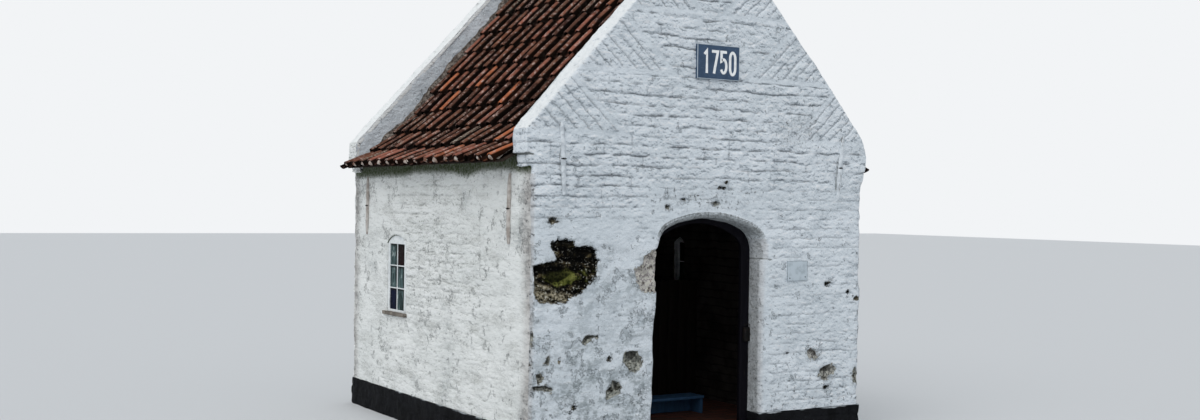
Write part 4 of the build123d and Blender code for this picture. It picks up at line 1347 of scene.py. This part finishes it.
# %% Window finishes
white_paint = plain_finish("old white linseed paint", 0.6, 0.3, ("#EDF0F1", "#D5DADC"), (20, 5, 0.40, 0.68),
                           [("#8A8E8C", 0.8, 90, 3, 0.7, 0.62, 0.72)], (60, 4, 0.002))
stone_sill = plain_finish("grey-brown sandstone", 0.85, 0.25, ("#8C847B", "#5E5851"), (14, 5, 0.35, 0.65),
                          [("#B5AFA5", 0.7, 80, 3, 0.7, 0.58, 0.70)], (50, 5, 0.004))


def pane_glass(name, light, deep, sky=1.0):
    """Hand-made window glass: a tint with upright streaks, small painted reflections of the sky
    as strong as sky tells, and painted shadow, black, where the bars shade them (the value shaded)."""
    material, add, shader = new_material(name, 0.35, 0.02)
    streaks = speckle(add, 26, 3, 0.6, (1, 3.0, 0.35))
    tint = stain(add, light, deep, streaks, 0.42, 0.64)
    # Pale specks are painted reflections of the sky, as strong as sky.
    painted_glints = add(scurve, speckle(add, 24, 3, 0.6, (1, 1.6, 0.7)), 0.60, 0.66, 0, 0.8)
    tint = add(blend, add(times, painted_glints, sky), tint, "#B4C0BF")
    tint = add(blend, add(times, add("Attribute shaded", out="Fac"), 0.92), tint, "#020303")
    put_on(shader, tint, add(times, speckle(add, 14, 2), 0.002))
    return material


pane_kinds = [pane_glass("greenish cylinder glass", "#536868", "#141E1F"),
              pane_glass("ruby flashed glass", "#1D0203", "#060000", 0.1),
              pane_glass("cobalt pot glass", "#050F30", "#01030A", 0.1)]
clear, ruby, cobalt = range(3)

# %% Frames, panes, arch fields and sills
frame_out, frame_in, bar_wide, lap = 0.014, 0.050, 0.009, 0.004
glass_low, glass_high, glass_half = window_low + 0.015, window_spring, window_half - 0.015
bar_levels = (1.078, 1.265)
pane_steps = (glass_low, *bar_levels, glass_high)
pane_colours = {(2, 0): ruby, (0, 1): cobalt}


def for_side(points, sign, middle=recess_y):
    """Turns a piece drawn for the left wall half round the vertical for the right wall, and
    back to the same place along the wall."""
    return points * half_turn + (0, 2 * middle, 0) if sign > 0 else points


def arch_field(depth_out, depth_in, low, count=21, rows=7):
    """The blank field between the glass and the arc of the recess, as a closed slab."""
    y, t = grid(np.linspace(-1, 1, count), np.linspace(0, 1, rows))
    arc_top = window_spring + window_rise - crown_radius + np.sqrt(crown_radius**2 - (y * window_half)**2)
    z = low + t * (arc_top - low + lap)
    outer = np.column_stack([np.full(len(y), -half_width + depth_out), recess_y + y * recess_half, z])
    outer[:, 0] += 0.002 * noise(outer, 0.08, 70)
    back = outer * (0, 1, 1) + (-half_width + depth_in, 0, 0)
    return np.concatenate([outer, back]), slab_faces(grid_faces(count, rows)[:, ::-1], len(y))


def window_members():
    """The frame's two stiles and lower rail, the middle bar and the cross bars, as pairs of
    corners."""
    x_out, x_in = -half_width + frame_out, -half_width + frame_in
    recess = recess_y - recess_half, recess_y + recess_half
    glass = glass_y - glass_half, glass_y + glass_half
    members = [
        ((x_out, recess[0] - lap, window_low), (x_in, glass[0] + lap, window_spring + 0.01)),
        ((x_out, glass[1] - lap, window_low), (x_in, recess[1] + lap, window_spring + 0.01)),
        ((x_out, recess[0], window_low - lap), (x_in, recess[1], glass_low + lap)),
        ((x_out + 0.002, glass_y - bar_wide / 2, glass_low),
         (x_in - 0.008, glass_y + bar_wide / 2, glass_high + 0.01)),
    ]
    for level in bar_levels:
        members.append(((x_out + 0.003, glass[0], level - bar_wide / 2),
                        (x_in - 0.006, glass[1], level + bar_wide / 2)))
    return members


def window_panes():
    """Six thin blocks of glass, with their kinds and how much the bars shade them."""
    parts, kinds, shaded = [], [], []
    x_out = -half_width + frame_out
    for row, half in np.ndindex(3, 2):
        low, top = glass_y - glass_half + half * glass_half, pane_steps[row + 1]
        points, faces = block((x_out + 0.008, low, pane_steps[row]), (x_out + 0.012, low + glass_half, top),
                              0.0005, 0.012)
        near_top = 1 - ease(0.016, 0.028, top - points[:, 2])
        near_bar = 1 - ease(0.030, 0.056, points[:, 1] - low + 0.012 * noise(points, 0.05, 77))
        shaded.append(np.maximum(near_top, 0.85 * near_bar))
        points[:, 0] += 0.0006 * noise(points, 0.1, 75)
        parts.append((points, faces))
        kinds.append(np.full(len(faces), pane_colours.get((row, half), clear)))
    return *joined(parts), np.concatenate(kinds), np.concatenate(shaded)


for side_name, sign in (("left", -1), ("right", 1)):
    parts = [block(low, high, 0.003, 0.05, 0.0008, 71 + k) for k, (low, high) in enumerate(window_members())]
    parts.append(arch_field(frame_out - 0.001, frame_in, window_spring - lap))
    points, faces = joined(parts)
    add_piece("window_frame_and_bars_" + side_name, for_side(points, sign), faces, [white_paint],
              nodes=("window_frame_" + side_name,))
    points, faces, kinds, shaded = window_panes()
    add_piece("window_panes_" + side_name, for_side(points, sign), faces, pane_kinds, finish=kinds,
              values=dict(shaded=shaded), nodes=("window_glass_" + side_name,))
    sill_low, sill_high = np.array(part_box("window_sill_left"))
    points, faces = block(sill_low, sill_high, 0.006, 0.02, 0.0022, 76)
    points[:, 0] = np.clip(points[:, 0], sill_low[0], None)
    add_piece("stone_sill_" + side_name, for_side(points, sign, window_y), faces, [stone_sill],
              nodes=("window_sill_" + side_name,))

# %% [markdown]
# ## Wall anchors
#
# Eight iron anchors hold the roof beams to the walls. Each is a flat forged bar with a pin at
# its middle, limewashed over many times. Rust has come through the wash of those on the sides.

# %% Limewashed iron
def washed_iron(name, fresh_coat, old_coat, rust):
    """Limewash over iron, stained by rust in long streaks."""
    return plain_finish(name, 0.8, 0.3, (fresh_coat, old_coat), (18, 5, 0.40, 0.62),
                        [(rust, 0.9, 30, 5, 0.7, (1, 1, 0.4), 0.58, 0.70)], (60, 5, 0.003))


anchor_paint = washed_iron("limewash over forged iron", "#E0E6EB", "#BFC6CC", "#7A756E")
rusty_paint = washed_iron("rust-stained limewash over iron", "#C4BFBA", "#A29A93", "#7C6E66")
bare_iron = plain_finish("black forged iron", 0.7, 0.15, ("#0C0C0D", "#1D1714"), (30, 5, 0.40, 0.64),
                         lumps=(70, 5, 0.002))

# %% Forged anchors
anchor_half_long, anchor_half_wide, anchor_proud = 0.250, 0.0195, 0.018
side_u, front_anchor_z, side_anchor_z = 1.320, 2.110, 1.760


def anchor(elevation, u, v, bend, lean, seed):
    """A forged bar: half an ellipse in section, narrower at both ends, slightly bent and
    leaning, with a pin through its middle. Gives the bar and the pin."""
    t, b = grid(np.linspace(0, 1, 41), np.radians(np.linspace(0, 180, 9)))
    wide = anchor_half_wide * (0.50 + 0.50 * np.sin(np.pi * t)**0.5)
    wide = wide + 0.0015 * noise(np.column_stack([t * 9, 0 * t, 0 * t]), 1.0, seed)
    flat = np.column_stack([u + wide * np.cos(b) + bend * np.sin(np.pi * t) + lean * (t - 0.5),
                            v + anchor_half_long * (2 * t - 1)])
    bar = on_wall(elevation, flat, anchor_proud * np.sin(b)**0.7 * (1 - 0.5 * (2 * t - 1)**6) - 0.002)
    s, a = grid(np.linspace(0, 1, 6), np.radians(np.linspace(0, 360, 17)))
    shrink = np.sqrt(1 - (0.98 * s)**4) * 0.011
    flat = np.column_stack([u + bend + 1.8 * shrink * np.cos(a), v + 0.6 * shrink * np.sin(a)])
    pin = on_wall(elevation, flat, 0.004 + 0.0175 * s)
    return (bar, grid_faces(41, 9)[:, ::-1]), (pin, grid_faces(6, 17)[:, ::-1])


for name, elevation, (low_u, high_u), v, leans, paint in (
        ("front", front, anchor_u, front_anchor_z, (-0.026, 0.050), anchor_paint),
        ("rear", rear, anchor_u, front_anchor_z, (0.010, -0.012), anchor_paint),
        ("left", left, (-side_u, side_u), side_anchor_z, (0.008, 0.012), rusty_paint),
        ("right", right, (-side_u, side_u), side_anchor_z, (-0.010, 0.006), rusty_paint)):
    bars, pins = zip(anchor(elevation, low_u, v, 0.003, leans[0], 81),
                     anchor(elevation, high_u, v, -0.004, leans[1], 82))
    parts = [*bars, *pins]
    finish = np.repeat([0, 0, 1, 1], [len(f) for p, f in parts])
    points, faces = joined(parts)
    add_piece("forged_anchors_" + name, points, faces, [paint, bare_iron], finish=finish,
              nodes=("anchors_" + name,))

# %% [markdown]
# ## Date plate and notice
#
# High in the gable hangs a slate-blue plate with raised pale numerals. The number here is a
# plain round year. Beside the door is a small white enamel plate without any text.

# %% Finishes of the plates
slate = plain_finish("slate-blue painted plate", 0.55, 0.4, ("#3B526E", "#2E455F"), (12, 5, 0.35, 0.65),
                     [("#74859B", 0.5, 60, 4, 0.7, 0.60, 0.72)], (60, 4, 0.001))
enamel = plain_finish("greyed white vitreous enamel", 0.4, 0.35, ("#C2CDD5", "#AAB5BC"), (16, 5, 0.45, 0.70))
# A grey rim round the notice's face is painted shadow at its edge.
notice_shadow_rim = plain_finish("grey rim round the notice, painted shadow", 0.6, 0.2, ("#9BA4AB", "#5B5F63"),
                        (50, 5, 0.42, 0.60))
figure_white = plain_finish("white signwriter's enamel", 0.5, 0.3, ("#FBFCFC", "#E4E8E9"),
                            (30, 5, 0.45, 0.70))


def rim_bars(low, high, wide, y_front, y_back):
    """Corners of four bars round a plate: top, bottom, left and right."""
    (x_low, _, z_low), (x_high, _, z_high) = low, high
    for left_x, foot_z, right_x, top_z in (
            (x_low, z_high - wide, x_high, z_high), (x_low, z_low, x_high, z_low + wide),
            (x_low, z_low, x_low + wide, z_high), (x_high - wide, z_low, x_high, z_high)):
        yield (left_x, y_front, foot_z), (right_x, y_back, top_z)


# %% Plate and numerals
plate_low, plate_high = np.array(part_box("date_plate"))
points, faces = block(plate_low + (0, 0.003, 0), plate_high + (0, 0.01, 0), 0.003, 0.03, 0.0006, 85)
add_piece("slate_plate", points, faces, [slate], nodes=("date_plate",))
# A pale band round the plate's face is a painted highlight on its edges.
bars = rim_bars(plate_low, plate_high, 0.004, plate_low[1] + 0.001, plate_low[1] + 0.006)
points, faces = joined([block(a, b, 0.001, 0.1) for a, b in bars])
add_piece("plate_highlight_edge", points, faces, [enamel])


def stroke(path, width, y_front, y_back):
    """A numeral's stroke: a flat bar with bevelled edges, swept along a path in the plate's
    plane. Each ring stands square to the mean direction of the path there."""
    path = np.array(path, float)
    closed = np.allclose(path[0], path[-1])
    path = path[:-1] if closed else path
    ahead = unit(np.roll(path, -1, axis=0) - path)
    before = np.roll(ahead, 1, axis=0)
    if not closed:
        ahead[-1], before[0] = ahead[-2], ahead[0]
    bisect = unit(ahead + before)
    reach = 1 / np.maximum(np.sum(bisect * ahead, axis=1), 0.5)
    square = np.column_stack([-bisect[:, 1], bisect[:, 0]]) * reach[:, None]
    offsets = np.array([-0.5, -0.40, 0.40, 0.5]) * width
    depth = np.array([y_back, y_front, y_front, y_back])
    flat = path[:, None, :] + square[:, None, :] * offsets[:, None]
    points = np.stack([flat[..., 0], np.broadcast_to(depth, flat.shape[:2]), flat[..., 1]], -1).reshape(-1, 3)
    if closed:
        points = np.concatenate([points, points[:4]])
        return points, grid_faces(len(points) // 4, 4)
    last = len(points)
    ends = [[0, 1, 2, 3], [last - 1, last - 2, last - 3, last - 4]]
    return points, np.concatenate([grid_faces(last // 4, 4), ends])


def bowl(centre, radii, start, end, count):
    """Part of an ellipse as a path."""
    turn = np.radians(np.linspace(start, end, count))
    return [(centre[0] + radii[0] * math.cos(a), centre[1] + radii[1] * math.sin(a)) for a in turn]


numerals = {
    "1": [(0.25, 0.80), (0.62, 0.97), (0.62, 0.0)],
    "7": [(0.0, 0.95), (0.92, 0.95), (0.36, 0.0)],
    "5": [(0.92, 0.95), (0.12, 0.95), (0.12, 0.55)] + bowl((0.46, 0.34), (0.42, 0.29), 130, -150, 19),
    "0": bowl((0.5, 0.68), (0.40, 0.27), 0, 180, 11) + bowl((0.5, 0.27), (0.40, 0.27), 180, 360, 11)
    + [(0.90, 0.68)],
}
numeral_height, numeral_width, numeral_step, stroke_width = 0.172, 0.060, 0.0815, 0.0235
start_x, start_z = -0.1015, 2.775
parts = []
for place, figure in enumerate("1750"):
    path = np.array(numerals[figure]) * (numeral_width, numeral_height)
    parts.append(stroke(path + (start_x + place * numeral_step, start_z), stroke_width,
                        plate_low[1] + 0.0002, plate_low[1] + 0.005))
points, faces = joined(parts)
add_piece("date_numerals", points, faces, [figure_white])

# %% Notice plaque
low, high = np.array(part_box("notice_plaque"))
points, faces = block(low + (0, 0.001, 0), high + (0, 0.012, 0), 0.002, 0.03, 0.0005, 86)
add_piece("enamel_notice", points, faces, [enamel], nodes=("notice_plaque",))
# The border round the notice's face carries that painted shadow.
bars = rim_bars(low, high, 0.003, low[1], low[1] + 0.005)
points, faces = joined([block(a, b, 0.001, 0.05, 0.0003, 87) for a, b in bars])
add_piece("notice_shadow_outline", points, faces, [notice_shadow_rim])
parts, head_radius = [], 0.006
s, a = grid(np.linspace(0, 1, 5), np.radians(np.linspace(0, 360, 13)))
radius = head_radius * np.cos(0.5 * np.pi * s * 0.98)
for x, z in ((low[0] + 0.025, low[2] + 0.022), (high[0] - 0.022, low[2] + 0.030)):
    head = np.column_stack([x + radius * np.cos(a), low[1] + 0.002 - 0.003 * s, z + radius * np.sin(a)])
    parts.append((head, grid_faces(5, 13)[:, ::-1]))
points, faces = joined(parts)
add_piece("notice_screws", points, faces, [bare_iron])

# %% [markdown]
# ## Door
#
# The oak frame follows the arch and has a rebate on the room side. The leaf hangs on two strap
# hinges and stands open into the room. It is boarded, with two ledges across its back.

# %% Painted joinery
def old_paint(name, coat_colour, worn, wood, specular=0.3):
    """Brushed paint on wood: a coat with worn patches where the grain shows."""
    grain = (30, 5, 0.65, (1, 1, 0.12))
    return plain_finish(name, 0.65, specular, (coat_colour, worn), (*grain, 0.35, 0.65),
                        [(wood, 0.85, 11, 6, 0.75, 0.60, 0.68)], (*grain, 0.003))


frame_paint = old_paint("dark violet-grey frame paint", "#121117", "#0D0C11", "#2A2725", 0.05)
leaf_paint = old_paint("dark blue door paint", "#232C46", "#1B2238", "#4A4641", 0.1)

# %% Arched frame
frame_y, frame_foot, leg_points = -half_length + 0.143, 0.070, 29
inner_y = -half_length + wall


def door_line(inset):
    """The doorway's outline moved inward, from the left foot over the arch to the right."""
    crown = three_centred(door_half - inset, door_spring, door_rise - inset, door_fillet - inset)
    legs = np.linspace(frame_foot, door_spring, leg_points + 1)[:-1]
    left_leg = np.column_stack([np.full(leg_points, inset - door_half), legs])
    return np.concatenate([left_leg, crown[::-1], (left_leg * (-1, 1))[::-1]])


section = [(0.0, frame_y), (0.070, frame_y), (0.075, frame_y + 0.004), (0.075, inner_y - 0.035),
           (0.060, inner_y - 0.035), (0.060, inner_y), (0.0, inner_y)]
lines = [np.insert(door_line(inset), 1, y, axis=1) for inset, y in section]
points = np.stack(lines, axis=1).reshape(-1, 3)
points += shiver(points, 0.0008, 0.12, 90)
faces = grid_faces(len(lines[0]), len(section))
add_piece("arched_door_frame", points, faces, [frame_paint], nodes=("door_frame",))

# %% Door leaf
leaf_low, leaf_high = np.array(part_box("door_leaf"))
leaf_inset, leaf_middle, board_count, board_gap = 0.065, -1.020, 6, 0.0012
leaf_arch = three_centred(door_half - leaf_inset, door_spring, door_rise - leaf_inset,
                          door_fillet - leaf_inset)
board_edges = np.linspace(leaf_low[1], leaf_high[1], board_count + 1)
parts = []
for number, (a, b) in enumerate(zip(board_edges[:-1] + board_gap, board_edges[1:] - board_gap)):
    points, faces = block((leaf_low[0], a, leaf_low[2]), (leaf_high[0], b, leaf_high[2]), 0.004, 0.05,
                          0.0006, 91 + number)
    top = np.interp(points[:, 1] - leaf_middle, leaf_arch[::-1, 0], leaf_arch[::-1, 1])
    above = points[:, 2] - leaf_low[2]
    points[:, 2] = leaf_low[2] + above * (top - leaf_low[2]) / (leaf_high[2] - leaf_low[2])
    parts.append((np.clip(points, leaf_low, leaf_high), faces))
points, faces = joined(parts)
add_piece("boarded_leaf", points, faces, [leaf_paint], body="door", nodes=("door_leaf",))

# %% Ledges
ledge_low, ledge_high = np.array(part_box("door_ledges"))
ledge_height = 0.110
points, faces = joined([
    block((*ledge_low[:2], z), (*ledge_high[:2], z + ledge_height), 0.006, 0.03, 0.0008, 97)
    for z in (ledge_low[2], ledge_high[2] - ledge_height)])
add_piece("chamfered_ledges", points, faces, [leaf_paint], body="door",
          nodes=("door_ledges",))

# %% Latch box and its hook
latch_low, latch_high = np.array(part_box("latch_box"))
hook_radius, hook_thick = 0.022, 0.004
hook_x, hook_z = latch_high[0] - 0.014, latch_high[2] + 0.002
ring, tube = grid(np.radians(np.linspace(-80, 150, 19)), np.radians(np.linspace(0, 360, 9)))
radius = hook_radius + hook_thick * np.cos(tube)
hook = np.column_stack([hook_x + radius * np.cos(ring), latch_low[1] + 0.012 + hook_thick * np.sin(tube),
                        hook_z + radius * np.sin(ring)])
points, faces = joined([block(latch_low, latch_high, 0.005, 0.02, 0.0008, 98), (hook, grid_faces(19, 9))])
add_piece("iron_latch_box", points, faces, [bare_iron], nodes=("latch_box",))

# %% [markdown]
# ## Inside
#
# A low blue kneeling bench stands in front of a boarded screen that closes off the rear part
# of the room. The floor is laid with red bricks, and the step at the door is bluestone. The
# roof's timbers and the door's iron keep the plain shapes of the CAD and get their finish.

# %% Bench
bench_paint = old_paint("worn light blue paint", "#3E6286", "#34567A", "#5C6670")
(x_low, y_low, z_low), (x_high, y_high, z_high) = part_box("kneeling_bench")
board, leg_back = 0.024, 0.020
top_z = z_high - board
boards = [((x_low, y_low, top_z), (x_high, y_high, z_high)),
          ((x_low, y_low + leg_back, z_low), (x_low + board, y_high, top_z)),
          ((x_high - board, y_low + leg_back, z_low), (x_high, y_high, top_z)),
          ((x_low, y_high - board, z_low), (x_high, y_high, top_z))]
points, faces = joined([block(a, b, 0.004, 0.04, 0.0006, 101 + k) for k, (a, b) in enumerate(boards)])
add_piece("painted_bench", points, faces, [bench_paint], nodes=("kneeling_bench",))

# %% Boarded screen
screen_paint = old_paint("dark brown stained deal", "#1F1A17", "#2A241F", "#15110F")
(x_low, y_low, z_low), (x_high, y_high, z_high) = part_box("altar_screen")
board_thick, board_gap, rail_height = 0.020, 0.001, 0.070
y_back = y_low + board_thick
edges = np.linspace(x_low, x_high, 26)
parts = [block((a + board_gap, y_low, z_low), (b - board_gap, y_back, z_high), 0.003, 0.09, 0.0008, 105 + k)
         for k, (a, b) in enumerate(zip(edges[:-1], edges[1:]))]
parts += [block((x_low, y_back, z), (x_high, y_high, z + rail_height), 0.004, 0.09, 0.0008, 140)
          for z in (z_low + 0.120, z_high - rail_height)]
points, faces = joined(parts)
add_piece("boarded_screen", points, faces, [screen_paint], nodes=("altar_screen",))

# %% Doorstep
bluestone = plain_finish("worn bluestone", 0.6, 0.35, ("#6E7478", "#54595D"), (10, 5, 0.35, 0.65),
                         lumps=(40, 5, 0.002))
step_low, step_high = np.array(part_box("door_sill"))
points, faces = block(step_low, step_high, 0.006, 0.03, 0.0008, 150)
points[:, 2] -= 0.005 * np.exp(-(points[:, 0] / 0.25)**2) * (points[:, 2] > 0.05)
points = np.clip(points, step_low, step_high)
add_piece("worn_doorstep", points, faces, [bluestone], nodes=("door_sill",))

# %% Brick floor, roof timbers and door iron
brick_floor, add, shader = new_material("worn red paving brick", 0.85, 0.2)
laid = add("TexBrick", {"Vector": add("TexCoord", out="Object"), "Scale": 1.0, "Brick Width": 0.22,
                        "Row Height": 0.11, "Mortar Size": 0.006, "Color1": "#6A4136",
                        "Color2": "#54352E", "Mortar": "#2E2926"})
worn = stain(add, laid, "#453A35", speckle(add, 9, 5), 0.45, 0.7, 0.7)
rough_bricks = add(times, speckle(add, 20, 5), 0.004)
put_on(shader, worn, add(times_plus, laid.node.outputs["Fac"], -0.004, rough_bricks))
grain = (0.65, (1, 0.15, 1))
roof_wood = plain_finish("smoke-darkened roof timber", 0.8, 0.2, ("#3B2F26", "#241D18"),
                         (20, 5, *grain, 0.35, 0.65), lumps=(30, 5, *grain, 0.003))
carried = dict(floor=brick_floor, roof_boards_left=roof_wood, roof_boards_right=roof_wood, rafters=roof_wood,
               ridge_beam=roof_wood, wall_plates=roof_wood, door_ironwork=bare_iron, door_pintles=bare_iron)
for name, material in carried.items():
    for slot_of_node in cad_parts[name].material_slots:
        slot_of_node.link = "OBJECT"
        slot_of_node.material = material
    print(name, "is", material.name)

# %% [markdown]
# ## Camera, ground and light
#
# The camera stands to the left of the front, at eye height, and sees the shrine at the
# photo's angle. The light is an even grey sky with a weak, very soft sun from the upper left.
# A pale ground lies under the plinth and keeps the shadow.

# %% Camera at the photo's viewing angle
turn, tip, roll = math.radians(31.679), math.radians(-0.254), math.radians(0.805)
ahead = Vector((math.sin(turn) * math.cos(tip), math.cos(turn) * math.cos(tip), math.sin(tip)))
to_right = ahead.cross(Vector((0, 0, 1))).normalized()
upward = to_right.cross(ahead)
across_view = math.cos(roll) * to_right + math.sin(roll) * upward
up_view = -math.sin(roll) * to_right + math.cos(roll) * upward
camera_data = bpy.data.cameras.new("camera")
camera_data.sensor_width, camera_data.lens = 36.0, 39.76
camera = bpy.data.objects.new("camera", camera_data)
camera.matrix_world = Matrix((across_view, up_view, -ahead)).transposed().to_4x4()
camera.matrix_world.translation = (-5.839, -9.563, 1.8)
bpy.context.scene.collection.objects.link(camera)
bpy.context.scene.camera = camera
print("camera lens", camera_data.lens, "mm")

# %% Pale ground
ground_material, add, shader = new_material("pale studio ground", 0.9, 0.1)
shader.inputs["Base Color"].default_value = colour("#D2D4D6")
ground_reach, ground_level = 60.0, -0.001
ground_corners = np.array([(-1, -1, 0), (1, -1, 0), (1, 1, 0), (-1, 1, 0)])
ground_points = ground_reach * ground_corners + (0, 0, ground_level)
ground_mesh = bpy.data.meshes.new("ground")
ground_mesh.from_pydata(ground_points.tolist(), [], [(0, 1, 2, 3)])
ground_mesh.materials.append(ground_material)
ground = bpy.data.objects.new("ground", ground_mesh)
bpy.context.scene.collection.objects.link(ground)
ground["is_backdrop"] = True

# %% Even sky and soft sun
world = bpy.data.worlds.new("even sky")
bpy.context.scene.world = world
world.use_nodes = True
tree = world.node_tree
tree.nodes.clear()
sky = node(tree, "Background", {"Color": "#EEF3F8", "Strength": 0.72})
white = node(tree, "Background", {"Color": "#F2F4F6", "Strength": 1.0})
seen = node(tree, "LightPath", out="Is Camera Ray")
node(tree, "OutputWorld", node(tree, "MixShader", seen, sky, white))
sun_data = bpy.data.lights.new("soft sun", "SUN")
sun_data.energy, sun_data.angle, sun_data.color = 1.1, math.radians(50), (1.0, 0.985, 0.96)
sun = bpy.data.objects.new("soft sun", sun_data)
sun.rotation_euler = Vector((0.62, 0.42, -0.85)).to_track_quat("-Z", "Y").to_euler()
bpy.context.scene.collection.objects.link(sun)
sun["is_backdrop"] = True
bpy.context.scene.view_settings.view_transform = "Standard"

# %% Print the visual box and finish
low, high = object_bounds()
print("visual box", [round(v, 3) for v in (*low, *high)])
